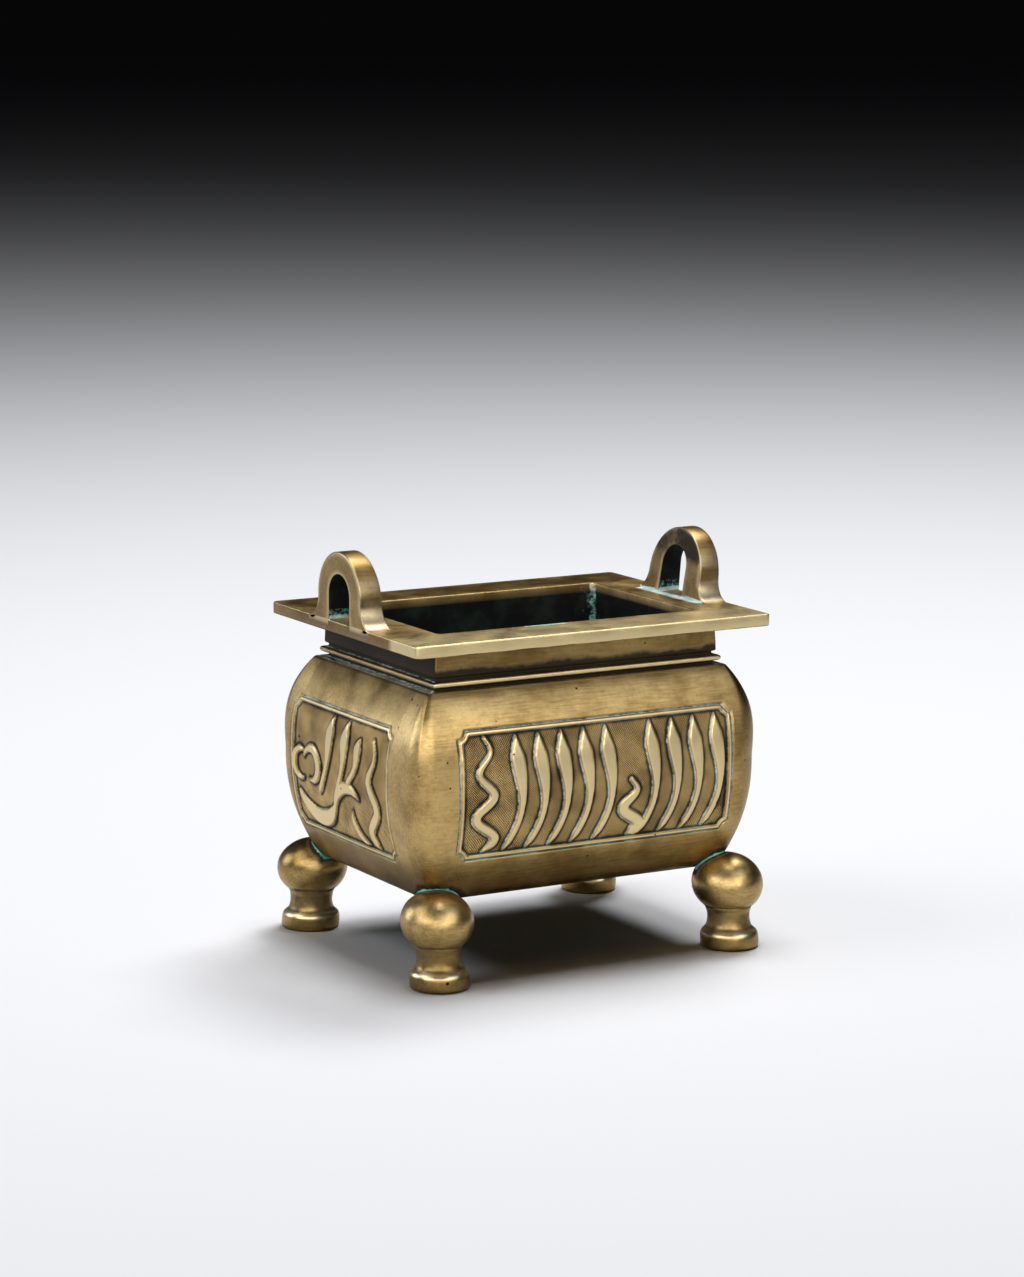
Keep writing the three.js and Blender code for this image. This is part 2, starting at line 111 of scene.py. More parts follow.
# Handles: side, shift along the rim, slope of the inner face and lean; then half width and spring
# height of the arch; then half width, spring height and shift of the hole
HANDLE_THICKNESS = 10.4
HANDLE_ROUND = 0.75
HANDLE_SUNK = 2.4
HANDLES = {
    "left": ((-1, 2.3, 0.06, 0.0), (18.0, 9.8), (8.4, 10.4, 0.0)),
    "right": ((1, -2.7, 0.09, -0.12), (19.2, 8.9), (8.6, 12.0, 1.0)),
}
ARCH_FLARE = 8.8

# Feet
FOOT_PLACE = (66.4, 55.0)
FOOT_LEAN = 0.09
BALL_RADIUS = 14.5
BALL_HALF_HEIGHT = 12.0
BALL_HEIGHT = 25.5
COLLAR_TOP = 17.1

# Carved panels: half length, lowest and highest level, shift along the side. A point within
# SIDE_DEPTH of the widest level lies on that side
PANELS = {
    "front": (62.2, 48.2, 100.2, 1.8),
    "near_end": (42.0, 45.4, 99.6, -4.5),
    "back": (62.2, 48.2, 100.2, 0.0),
    "far_end": (42.0, 45.4, 99.6, 0.0),
}
NOTCH = 3.4
SIDE_DEPTH = 16
BORDER_GROOVE = 0.9
BORDER_FILLET = 1.3
STROKE_MARGIN = 3.8
STROKE_CROWDING = 0.95
BLADE_DRIFT = 4.7
FAR = 6.0

# Tones of the bronze: brown, middle, pale for rubbed spots and painted highlights, and tarnished, also used
# for painted shade and a painted dark reflection
BODY_TONES = ("#876C3F", "#C2A56C", "#E0CC9C", "#665028")
FOOT_TONES = ("#8A7040", "#CDB27A", "#EBD8AC", "#765E32")
BODY_ROUGHNESS = 0.38
FOOT_ROUGHNESS = 0.34

# One old splash of green on the front of the rim: an ellipsoid's scale and its shift after that
SPLASH_SCALE = (90.0, 700.0, 300.0)
SPLASH_PLACE = (1.0, 28.3, -40.4)

# Stage: the lights' place, size, power and tint. The cards light the burner alone, so the floor keeps
# its deep shadow
FLOOR_COLOUR = "#ECEDF1"
FLOOR_HALF = 14.0
STUDIO_DARK = "#060607"
LIGHT_TARGET = (0.0, 0.0, 0.08)
SOFTBOXES = {
    "softbox_top": ((0.1, 0.12, 2.4), (0.6, 0.6), 34.0, "#FFFFFF"),
    "softbox_back": ((0.94, 0.63, 2.2), (0.8, 0.8), 30.0, "#FFFFFF"),
    "softbox_left": ((-1.49, 0.48, 1.9), (1.15, 1.15), 11.0, "#FAFBFF"),
}
CARDS = {
    "card_front": ((-0.8, -1.9, 0.95), (2.6, 1.4), 33.0, "#FFFFFF"),
    "card_right": ((0.36, -1.24, 0.7), (0.8, 0.75), 5.0, "#FFFFFF"),
    "card_left": ((-1.24, -0.36, 0.74), (0.8, 0.75), 8.0, "#FFFFFF"),
    "card_back": ((-0.95, 0.84, 0.49), (0.6, 0.6), 6.5, "#DFE9FF"),
    "card_high": ((0.52, -0.86, 1.15), (0.8, 0.6), 3.6, "#E2ECFF"),
}

# Camera, fitted to the rim, the feet and the panels: its place, its own axes and its lens
CAMERA_PLACE = (-0.754189, -1.303793, 0.386902)
CAMERA_RIGHT = (0.86694658, -0.4983824, 0.00431461)
CAMERA_UP = (0.082602, 0.15221432, 0.98488969)
CAMERA_BACK = (-0.49150843, -0.85349036, 0.17312907)
CAMERA_LENS = 107.73


def lerp(start, end, share):
    return start + (end - start) * share


def ease(low, high, place):
    """0 below low, 1 above high, and a smooth step between them."""
    share = np.clip((place - low) / (high - low), 0.0, 1.0)
    return share * share * (3.0 - 2.0 * share)


def belly_section(height):
    """Half length, half width, corner radius, the two side bulges and how much rounder the right
    corners are, at each height."""
    height = np.asarray(height, float)
    above = height > WIDEST_HEIGHT
    reach = np.where(above, SHOULDER_TOP - WIDEST_HEIGHT, WIDEST_HEIGHT - BOTTOM_HEIGHT)
    share = np.minimum(np.abs(height - WIDEST_HEIGHT) / reach, 1.0)
    loss = share ** np.where(above, SHOULDER_POWER, UNDERBELLY_POWER)
    ends = [np.where(above, top, low) for top, low in zip(SHOULDER, BOTTOM)]
    shares = (loss, loss, share ** CORNER_SHARPENING)
    sizes = [wide - (wide - end) * part for wide, end, part in zip(WIDEST, ends, shares)]
    full = 1 - loss
    return (*sizes, BULGES[0] * full, BULGES[1] * full, RIGHT_CORNER_SOFTENING * full)


def corner_place(share, quarter):
    """A place on a corner's curve, in shares of its radius, counter-clockwise.

    A turn of 45 degrees to its middle makes a quarter circle. The near left corner turns less and
    so keeps an edge down its middle.
    """
    turn = NEAR_LEFT_TURN if quarter == 2 else math.pi / 4
    angle = 2 * turn * min(share, 1 - share)
    bow = 1 / (math.sin(turn) + 1 - math.cos(turn))
    place = (1 - bow * (1 - math.cos(angle)), bow * math.sin(angle))
    u, v = place if share <= 0.5 else place[::-1]
    return ((u, v), (-v, u), (-u, -v), (v, -u))[quarter]


def ring_columns(corners, front, near_end, back, far_end):
    """The columns round the vessel, counter-clockwise from the far right corner, as six factors each.

    A column's place is (mx * (a - r) + cx * r + qx * end bulge, my * (b - r) + cy * r + qy * side bulge).
    """
    rows = []
    sides = (back, near_end, front, far_end)
    for quarter, (sign_x, sign_y) in enumerate(((1, 1), (-1, 1), (-1, -1), (1, -1))):
        steps = corners[quarter]
        for step in range(steps + 1):
            even = step / steps
            share = 0.5 * even + 0.25 * (1 - math.cos(math.pi * even))
            rows.append((sign_x, sign_y, *corner_place(share, quarter), 0.0, 0.0))
        for share in sides[quarter][1:-1]:
            swell = 1 - share * share
            if quarter % 2 == 0:
                rows.append((sign_x * share, sign_y, 0.0, sign_y, 0.0, sign_y * swell))
            else:
                rows.append((sign_x, sign_y * share, sign_x, 0.0, sign_x * swell, 0.0))
    return np.array(rows)


def side_shares(length, dense_length, dense_step, step):
    """Places along a side from 1 to -1, closer together near both ends."""
    half = length / 2
    dense = max(2, round(dense_length / dense_step))
    middle = max(2, round(2 * (half - dense_length) / step))
    outer = np.linspace(half, half - dense_length, dense, endpoint=False)
    inner = np.linspace(half - dense_length, -(half - dense_length), middle, endpoint=False)
    return np.concatenate([outer, inner, -outer[::-1]]) / half


def place_rings(columns, levels):
    """Corner points of rings from levels, each a height and then what belly_section gives."""
    mx, my, cx, cy, qx, qy = columns.T
    sizes = (np.asarray(values, float)[:, None] for values in zip(*levels))
    height, a, b, r, side_bulge, end_bulge, softening = sizes
    r = r + softening * (mx > 0)
    x = mx * (a - r) + cx * r + qx * end_bulge
    y = my * (b - r) + cy * r + qy * side_bulge
    return np.stack([x, y, np.broadcast_to(height, x.shape)], -1)


def tube(bm, rings):
    """A tube through rings, folded out of a grid. Returns the points of its seam, to be welded."""
    levels, count = rings.shape[:2]
    before = len(bm.verts)
    bmesh.ops.create_grid(bm, x_segments=count, y_segments=levels - 1, size=1.0)
    bm.verts.ensure_lookup_table()
    fresh = bm.verts[before:]
    for level in range(levels):
        start = level * (count + 1)
        ring = rings[level]
        for column in range(count):
            fresh[start + column].co = ring[column]
        fresh[start + count].co = ring[0]
    return [fresh[level * (count + 1) + column] for level in range(levels) for column in (0, count)]


def boundary_loop(bm, height):
    """The open edges of a shell that lie at one height."""
    return [
        edge for edge in bm.edges
        if edge.is_boundary and all(abs(vert.co.z - height) < 1e-4 for vert in edge.verts)
    ]


# Strokes of the panels, the same shapes as in the frame: centre line and half width by share


def blade(x, top, bottom, width, hook=4.6, lean=0.0):
    share = np.linspace(0, 1, 140)
    sway = 1.2 * np.sin(2 * np.pi * (share - 0.32))
    centre = x + sway - hook * share ** 7 + lean * (0.5 - share)
    half = lerp(width / 2, 1.2, ease(0.2, 0.68, share))
    half = half * np.minimum(1, (share / 0.2) ** 0.8) * (1 - 0.6 * ease(0.93, 1.0, share))
    return centre, lerp(top, bottom, share), half


def ribbon(x, top, bottom, width, swing, bends):
    share = np.linspace(0, 1, 260)
    centre = x + swing * (0.4 + 0.6 * share) * np.sin(share * bends * np.pi)
    half = width / 2 * (0.35 + 0.65 * ease(0.0, 0.6, share)) * (1 - 0.7 * ease(0.94, 1.0, share))
    return centre, lerp(top, bottom, share), half


def crescent(x, y, radius, start, end, width):
    share = np.linspace(0, 1, 120)
    angle = np.radians(lerp(start, end, share))
    half = width / 2 * np.sin(share * np.pi) ** 0.7
    return x + radius * np.cos(angle), y + radius * np.sin(angle), half


def stroke_row(panel, count, ribbon_places=(), short_ribbon_places=()):
    half_length, low, high, _shift = PANELS[panel]
    pitch = STROKE_CROWDING * 2 * (half_length - STROKE_MARGIN) / count
    top, bottom = high - STROKE_MARGIN, low + STROKE_MARGIN
    strokes = []
    for place in range(count):
        x = (place - (count - 1) / 2) * pitch
        if place in ribbon_places:
            strokes.append(ribbon(x, top, bottom, 3.4, 5.0, 5))
        elif place in short_ribbon_places:
            strokes.append(ribbon(x + BLADE_DRIFT, (low + high) / 2, bottom, 4.4, 5.0, 3))
        else:
            strokes.append(blade(x + BLADE_DRIFT, top, bottom, 5.8))
    return strokes


def near_end_strokes():
    _half, bottom, top, _shift = PANELS["near_end"]
    high, low, middle = top - STROKE_MARGIN, bottom + STROKE_MARGIN, (bottom + top) / 2
    return [
        blade(-10, high, middle - 9, 5.6, 1, 10),
        blade(3, high, middle - 9, 5.6, 1, 9),
        blade(14, high - 5, middle - 1, 4.6, 1, 9),
        crescent(-20, middle - 1, 19, 212, 328, 7),
        ribbon(28, high - 4, low, 4, 4.2, 4),
        crescent(-24, middle + 1, 6.5, -110, 160, 3.8),
        crescent(-33, middle, 6, 60, 290, 3.4),
        crescent(8, middle - 16, 13, 50, 175, 4.4),
        crescent(20, low + 10, 10, 170, 270, 3.4),
    ]


def far_end_strokes():
    _half, bottom, top, _shift = PANELS["far_end"]
    middle = (bottom + top) / 2
    strokes = [crescent(0, middle + 4, 24, 215, 325, 6)]
    for place in range(4):
        x = (place - 1.5) * 16
        foot = middle + 3 if abs(x) > 16 else middle - 9
        strokes.append(blade(x, top - STROKE_MARGIN, foot, 5.6, 2))
    return strokes


def panel_strokes():
    return {
        "front": stroke_row("front", 11, (0,), (6,)),
        "near_end": near_end_strokes(),
        "back": stroke_row("back", 8),
        "far_end": far_end_strokes(),
    }


def panel_sides(points):
    """Which points lie on each side of the belly, and their places across that side."""
    x, y = points[:, 0], points[:, 1]
    depth_side, depth_end = WIDEST[1] - SIDE_DEPTH, WIDEST[0] - SIDE_DEPTH
    return {
        "front": (y < -depth_side, x),
        "near_end": (x < -depth_end, -y),
        "back": (y > depth_side, -x),
        "far_end": (x > depth_end, y),
    }


def stroke_distance(u, v, strokes):
    """Signed distance to the nearest stroke, below zero inside it, and the side it lies on."""
    nearest = np.full(len(u), FAR)
    side = np.zeros(len(u))
    for centre, level, half in strokes:
        close = np.nonzero(
            (u > centre.min() - FAR) & (u < centre.max() + FAR)
            & (v > level.min() - FAR) & (v < level.max() + FAR)
        )[0]
        across = centre[None, :] - u[close, None]
        along = level[None, :] - v[close, None]
        length = np.sqrt(across ** 2 + along ** 2)
        gap = length - half[None, :]
        best = gap.argmin(1)
        rows = np.arange(len(close))
        found = gap[rows, best]
        better = found < nearest[close]
        chosen = close[better]
        nearest[chosen] = found[better]
        side[chosen] = (across[rows, best] / np.maximum(length[rows, best], 1e-3))[better]
    return nearest, side


def carving(points, strokes):
    """Signed distance in mm to the nearest edge of what stands at the surface, and its side.

    It is above zero on the sunk ground and in the border groove, and below zero on the strokes,
    on the border fillet and outside the panels.
    """
    edge = np.full(len(points), -FAR)
    side = np.zeros(len(points))
    frame_edge = np.full(len(points), -FAR)
    panel = np.full(len(points), -FAR)
    for name, (on_side, across) in panel_sides(points).items():
        half, low, high, shift = PANELS[name]
        u = across - shift
        v = points[:, 2]
        close = (np.abs(u) < half + FAR) & (v > low - FAR) & (v < high + FAR)
        here = np.nonzero(on_side & close)[0]
        u, v = u[here], v[here]
        inside = np.minimum(half - np.abs(u), np.minimum(v - low, high - v))
        corner = np.hypot(half - np.abs(u), np.minimum(v - low, high - v)) - NOTCH
        inside = np.minimum(inside, corner)
        groove = np.minimum(inside, BORDER_GROOVE - inside)
        ground = inside - BORDER_GROOVE - BORDER_FILLET
        nearest, towards = stroke_distance(u, v, strokes[name])
        sunk = np.minimum(ground, nearest)
        edge[here] = np.maximum(groove, sunk)
        side[here] = np.where(nearest < ground, towards, 0.0)
        frame_edge[here] = np.where(inside > -FAR, np.maximum(groove, -np.abs(ground)), -FAR)
        panel[here] = ground
    return edge, side, frame_edge, panel


def hash_noise(points, scale, seed):
    """Smooth value noise of -1 to 1, from a fixed lattice, for small unevenness of the casting."""
    cell = points / scale
    low = np.floor(cell).astype(np.int64)
    part = cell - low
    part = part * part * (3 - 2 * part)
    total = np.zeros(len(points))
    for corner in range(8):
        step = np.array([(corner >> axis) & 1 for axis in range(3)])
        node = low + step
        mixed = (node[:, 0] * 73856093) ^ (node[:, 1] * 19349663)
        mixed = mixed ^ (node[:, 2] * 83492791) ^ (seed * 2654435761)
        mixed = (mixed ^ (mixed >> 13)) * 1274126177
        value = ((mixed ^ (mixed >> 16)) & 0xFFFF) / 32767.5 - 1.0
        weight = np.prod(np.where(step == 1, part, 1 - part), axis=1)
        total += value * weight
    return total


def quarter_round(radius, start, end, steps):
    """How far a rounded edge lies below its top and inside its side, along the round."""
    for angle in np.linspace(start, end, steps):
        yield radius * (1 - math.cos(angle)), radius * (1 - math.sin(angle))


def belly_levels():
    """Rings of the belly, bottom to shoulder, close together where the panel borders run."""
    levels = []
    for rise, inset in quarter_round(BOTTOM_ROUND, 0, math.pi / 2, 5):
        a, b, r, *rest = (float(v) for v in belly_section(BOTTOM_HEIGHT + rise))
        levels.append((BOTTOM_HEIGHT + rise, a - inset, b - inset, r - inset, *rest))
    low = BOTTOM_HEIGHT + BOTTOM_ROUND
    for high, count in BELLY_SPANS:
        for height in np.linspace(low, high, count)[1:]:
            levels.append((height, *(float(v) for v in belly_section(height))))
        low = high
    a, b, r, *rest = (float(v) for v in belly_section(SHOULDER_TOP))
    levels.append((SHOULDER_TOP - 0.08, a - 0.15, b - 0.15, r, *rest))
    levels.append((SHOULDER_TOP, a - 0.5, b - 0.5, r, *rest))
    return levels


def neck(height, offset):
    return (height, NECK_HALF[0] + offset, NECK_HALF[1] + offset, NECK_CORNER, 0.0, 0.0, 0.0)


def rim(height, inset):
    return (height, RIM_HALF[0] - inset, RIM_HALF[1] - inset, RIM_CORNER, 0.0, 0.0, 0.0)


def mouth(height, offset):
    return (height, MOUTH_HALF[0] + offset, MOUTH_HALF[1] + offset, MOUTH_CORNER + offset, 0.0, 0.0, 0.0)


def collar_levels():
    """Rings of the neck, the rim and the room inside, from the shoulder out and back down."""
    levels = [neck(SHOULDER_TOP, 0.6)]
    for low, high, ring in (
        (*LOWER_GROOVE, ((0.12, -0.35), (0.35, -0.85), (0.65, -0.9), (0.9, -0.4), (1.0, 0.5))),
        (LOWER_GROOVE[1], UPPER_GROOVE[0],
         ((0.06, 1.2), (0.2, 1.7), (0.5, 1.9), (0.8, 1.7), (0.94, 1.2), (1.0, 0.4))),
        (*UPPER_GROOVE, ((0.12, -0.4), (0.4, -0.9), (0.7, -0.85), (0.93, -0.2), (1.0, 0.15))),
    ):
        levels += [neck(lerp(low, high, share), offset) for share, offset in ring]
    neck_wall = ((119.6, 0.4), (123.0, 0.3), (127.0, 0.1), (129.3, 0.1), (129.8, 0.4), (130.0, 1.2))
    levels += [neck(height, offset) for height, offset in neck_wall]
    levels.append(rim(RIM_BOTTOM, 6.0))
    for rise, inset in quarter_round(EDGE_ROUND, 0, math.pi / 2, 4):
        levels.append(rim(RIM_BOTTOM + rise, inset))
    levels.append(rim(lerp(RIM_BOTTOM, RIM_TOP, 0.5), 0.0))
    for drop, inset in quarter_round(EDGE_ROUND, math.pi / 2, 0, 5):
        levels.append(rim(RIM_TOP - drop, inset))
    for share in (0.2, 0.5, 0.8):
        levels.append((
            RIM_TOP,
            lerp(RIM_HALF[0], MOUTH_HALF[0], share),
            lerp(RIM_HALF[1], MOUTH_HALF[1], share),
            lerp(RIM_CORNER, MOUTH_CORNER, share), 0.0, 0.0, 0.0,
        ))
    for drop, offset in quarter_round(LIP_ROUND, 0, math.pi / 2, 4):
        levels.append(mouth(RIM_TOP - drop, offset))
    for height in (131.0, 126.0, 121.0, 116.2, 115.3):
        levels.append(mouth(height, 0.0))
    for height in (111.6, 108.0, 101.0, 91.0, 78.0, 65.0, 53.0, 45.0, 40.5, 38.4):
        a, b, r, *rest = (float(v) for v in belly_section(height))
        levels.append((height, a - WALL, b - WALL, max(r - WALL, 1.0), *rest))
    a, b, r = (float(v) for v in belly_section(FLOOR_HEIGHT)[:3])
    inset = WALL + FLOOR_FILLET
    levels.append((FLOOR_HEIGHT, a - inset, b - inset, max(r - WALL, 1.0), 0.0, 0.0, 0.0))
    return levels


def body_mesh(strokes, depth):
    """The cast body with its rim, neck and hollow, as a closed mesh in millimetres."""
    columns = ring_columns(
        (10, 16, 26, 16),
        front=side_shares(134.2, 8.0, 0.4, 0.66),
        near_end=side_shares(95.2, 8.4, 0.42, 0.66),
        back=side_shares(134.2, 7.0, 0.6, 1.3),
        far_end=side_shares(95.2, 7.5, 0.6, 1.3),
    )
    even = {name: np.linspace(1, -1, steps + 1) for name, steps in (("long", 46), ("short", 34))}
    collar_columns = ring_columns((6, 6, 6, 6), even["long"], even["short"], even["long"], even["short"])
    rings = place_rings(columns, belly_levels())
    flat = rings.reshape(-1, 3)
    edge = carving(flat, strokes)[0]
    sunk = depth * ease(-0.12, 0.45, edge)
    ripple = 0.05 * hash_noise(flat, 9.0, 3) + 0.03 * hash_noise(flat, 3.1, 5) * (edge > 0.3)
    outward = np.broadcast_to(columns[:, 2:4], (rings.shape[0], *columns[:, 2:4].shape)).reshape(-1, 2)
    flat[:, :2] -= outward * (sunk + ripple)[:, None]
    bm = bmesh.new()
    seams = tube(bm, flat.reshape(rings.shape))
    seams += tube(bm, place_rings(collar_columns, collar_levels()))
    bmesh.ops.remove_doubles(bm, verts=seams, dist=WELD)
    bmesh.ops.bridge_loops(bm, edges=boundary_loop(bm, SHOULDER_TOP))
    for height in (BOTTOM_HEIGHT, FLOOR_HEIGHT):
        bmesh.ops.holes_fill(bm, edges=boundary_loop(bm, height), sides=0)
    bmesh.ops.recalc_face_normals(bm, faces=bm.faces)
    return bm


def arch_points(arch, hole, steps_flare, steps_arch):
    """Matching points along the arch's outline and along its hole, left foot to right foot."""
    arch_half, arch_spring = arch
    hole_half, hole_spring, hole_shift = hole
    outer, inner = [], []
    reach = arch_half + ARCH_FLARE
    sunk = 0.12
    outer.append((-reach, -HANDLE_SUNK))
    inner.append((-hole_half, -HANDLE_SUNK))
    for step in range(steps_flare + 1):
        angle = -math.pi / 2 + math.pi / 2 * step / steps_flare
        flare_x, flare_y = ARCH_FLARE * math.cos(angle), ARCH_FLARE * math.sin(angle)
        outer.append((-reach + flare_x, ARCH_FLARE - sunk + flare_y))
        inner.append((-hole_half, -sunk + (hole_spring - 1.6) * (step / steps_flare) ** 1.4))
    for step in range(1, steps_arch + 1):
        angle = math.pi - math.pi / 2 * step / steps_arch
        outer.append((arch_half * math.cos(angle), arch_spring + arch_half * math.sin(angle)))
        inner.append((hole_half * math.cos(angle), hole_spring + hole_half * math.sin(angle)))
    half = [(side, (x + hole_shift, y)) for side, (x, y) in zip(outer, inner)]
    mirrored = [
        ((-outer_x, outer_y), (hole_shift - inner_x, inner_y))
        for (outer_x, outer_y), (inner_x, inner_y) in zip(outer[-2::-1], inner[-2::-1])
    ]
    return half + mirrored


def handle_mesh(name):
    """One upright arch, with worn round edges, in millimetres."""
    (side, offset, slope, skew), arch, hole = HANDLES[name]
    path = arch_points(arch, hole, 9, 16)
    across = 4
    bm = bmesh.new()
    bmesh.ops.create_grid(bm, x_segments=across, y_segments=len(path) - 1, size=1.0)
    bm.verts.ensure_lookup_table()
    for row, (outer, inner) in enumerate(path):
        for column in range(across + 1):
            share = column / across
            bm.verts[row * (across + 1) + column].co = (
                lerp(outer[0], inner[0], share), lerp(outer[1], inner[1], share), 0.0,
            )
    grown = bmesh.ops.extrude_face_region(bm, geom=list(bm.faces), use_keep_orig=True)
    moved = [item for item in grown["geom"] if isinstance(item, bmesh.types.BMVert)]
    bmesh.ops.translate(bm, verts=moved, vec=(0, 0, HANDLE_THICKNESS))
    bmesh.ops.recalc_face_normals(bm, faces=bm.faces)
    sharp = [
        edge for edge in bm.edges
        if len(edge.link_faces) == 2 and edge.calc_face_angle() > 1.2
        and not all(vert.co.y < -2 for vert in edge.verts)
        and abs(edge.verts[0].co.z - edge.verts[1].co.z) < 1e-4
    ]
    bmesh.ops.bevel(
        bm, geom=sharp, offset=HANDLE_ROUND, offset_type="OFFSET", affect="EDGES", segments=4,
        profile=0.5, material=-1,
    )
    for vert in bm.verts:
        along, up, inward = vert.co
        rise = max(up, 0.0)
        thinning = slope * rise * inward / HANDLE_THICKNESS
        vert.co = (
            side * (RIM_HALF[0] + 0.02 - inward + thinning),
            side * along + offset + skew * rise,
            RIM_TOP + up,
        )
    bmesh.ops.recalc_face_normals(bm, faces=bm.faces)
    return bm


def body_room(points):
    """How deep points lie inside the body's outer form, in mm, above zero inside it."""
    height = points[:, 2]
    a, b, r, _p, _q, softening = belly_section(np.clip(height, BOTTOM_HEIGHT, SHOULDER_TOP))
    r = r + softening * (points[:, 0] > 0)
    gap_x = np.abs(points[:, 0]) - (a - r)
    gap_y = np.abs(points[:, 1]) - (b - r)
    outside = np.hypot(np.maximum(gap_x, 0), np.maximum(gap_y, 0))
    room = r - (outside + np.minimum(np.maximum(gap_x, gap_y), 0))
    bow = r / (math.sin(NEAR_LEFT_TURN) + 1 - math.cos(NEAR_LEFT_TURN))
    reach = np.maximum(np.hypot(gap_x + bow - r, gap_y), np.hypot(gap_x, gap_y + bow - r))
    edged = (points[:, 0] < 0) & (points[:, 1] < 0) & (gap_x > 0) & (gap_y > 0)
    room = np.where(edged, bow - reach, room)
    return np.minimum(room, height - BOTTOM_HEIGHT)


def ball_gap(points):
    """Distance in mm from the nearest foot's ball."""
    x, y, z = points.T
    side_y = np.where(y < 0, -1.0, 1.0)
    dx = np.abs(x) - FOOT_PLACE[0]
    dy = np.abs(y) - FOOT_PLACE[1] + FOOT_LEAN * z
    dz = (z - BALL_HEIGHT) / BALL_HALF_HEIGHT
    scaled = np.sqrt((dx ** 2 + dy ** 2) / BALL_RADIUS ** 2 + dz ** 2)
    return (scaled - 1) * BALL_HALF_HEIGHT


def foot_profile():
    """A foot's outline from the middle of its underside up to the top of its ball."""
    points = [(0.0, 0.0), (6.0, 0.0), (10.3, 0.0), (11.1, 0.12), (11.6, 0.5), (11.8, 1.2), (11.85, 2.4),
              (11.8, 4.2), (11.75, 5.2), (11.45, 6.1), (10.9, 6.8), (10.2, 7.3), (9.6, 7.9), (9.15, 8.8),
              (8.85, 9.9), (8.65, 11.2), (8.62, 12.6), (8.75, 13.9), (9.0, 15.0), (9.3, 15.8), (9.55, 16.3),
              (9.45, 16.65), (9.3, 16.85)]
    start = math.asin((BALL_HEIGHT - COLLAR_TOP) / BALL_HALF_HEIGHT)
    steps = 34
    for step in range(steps + 1):
        angle = -start + (math.pi / 2 + start) * step / steps
        points.append((
            BALL_RADIUS * math.cos(angle) if step < steps else 0.0,
            BALL_HEIGHT + BALL_HALF_HEIGHT * math.sin(angle),
        ))
    return points


def foot_mesh(side_x, side_y, seed):
    """One foot, turned round its own axis, leaning inwards at the top."""
    bm = bmesh.new()
    chain = [bm.verts.new((radius, 0.0, height)) for radius, height in foot_profile()]
    edges = [bm.edges.new(pair) for pair in zip(chain, chain[1:])]
    bmesh.ops.spin(
        bm, geom=chain + edges, cent=(0, 0, 0), axis=(0, 0, 1), angle=2 * math.pi, steps=64,
        use_merge=True, use_normal_flip=False, use_duplicate=False,
    )
    bmesh.ops.remove_doubles(bm, verts=bm.verts, dist=WELD)
    bmesh.ops.recalc_face_normals(bm, faces=bm.faces)
    points = np.array([vert.co for vert in bm.verts])
    uneven = 0.16 * hash_noise(points + 40 * seed, 8.0, 11) + 0.06 * hash_noise(points + 40 * seed, 3.0, 17)
    uneven *= ease(0.2, 1.6, points[:, 2])
    for vert, swell in zip(bm.verts, uneven):
        out = Vector((vert.co.x, vert.co.y, 0.0))
        if out.length > 1e-3:
            vert.co += out.normalized() * (swell - 0.12)
    for vert in bm.verts:
        vert.co.y -= side_y * FOOT_LEAN * vert.co.z
        vert.co.x += side_x * FOOT_PLACE[0]
        vert.co.y += side_y * FOOT_PLACE[1]
    return bm


def finish_mesh(name, bm):
    """Turns a bmesh in millimetres into an object in metres with smooth faces."""
    bmesh.ops.scale(bm, vec=(MM, MM, MM), verts=bm.verts)
    mesh = bpy.data.meshes.new(name)
    bm.to_mesh(mesh)
    bm.free()
    mesh.shade_smooth()
    piece = bpy.data.objects.new(name, mesh)
    bpy.context.scene.collection.objects.link(piece)
    return piece


def join_solids(piece, others):
    """Joins closed pieces into one closed mesh and deletes the others."""
    for other in others:
        union = piece.modifiers.new("join", "BOOLEAN")
        union.operation = "UNION"
        union.solver = "MANIFOLD"
        union.object = other
    bpy.context.view_layer.update()
    graph = bpy.context.evaluated_depsgraph_get()
    joined = bpy.data.meshes.new_from_object(piece.evaluated_get(graph))
    piece.modifiers.clear()
    old = piece.data
    piece.data = joined
    bpy.data.meshes.remove(old)
    for other in others:
        spare = other.data
        bpy.data.objects.remove(other)
        bpy.data.meshes.remove(spare)
    piece.data.name = piece.name
    piece.data.shade_smooth()
    return piece


def store(mesh, name, values):
    """Keeps one number per corner point for the materials to read."""
    attribute = mesh.attributes.new(name, "FLOAT", "POINT")
    attribute.data.foreach_set("value", np.asarray(values, np.float32))


def mesh_points(mesh):
    points = np.zeros(len(mesh.vertices) * 3)
    mesh.vertices.foreach_get("co", points)
    return points.reshape(-1, 3) / MM


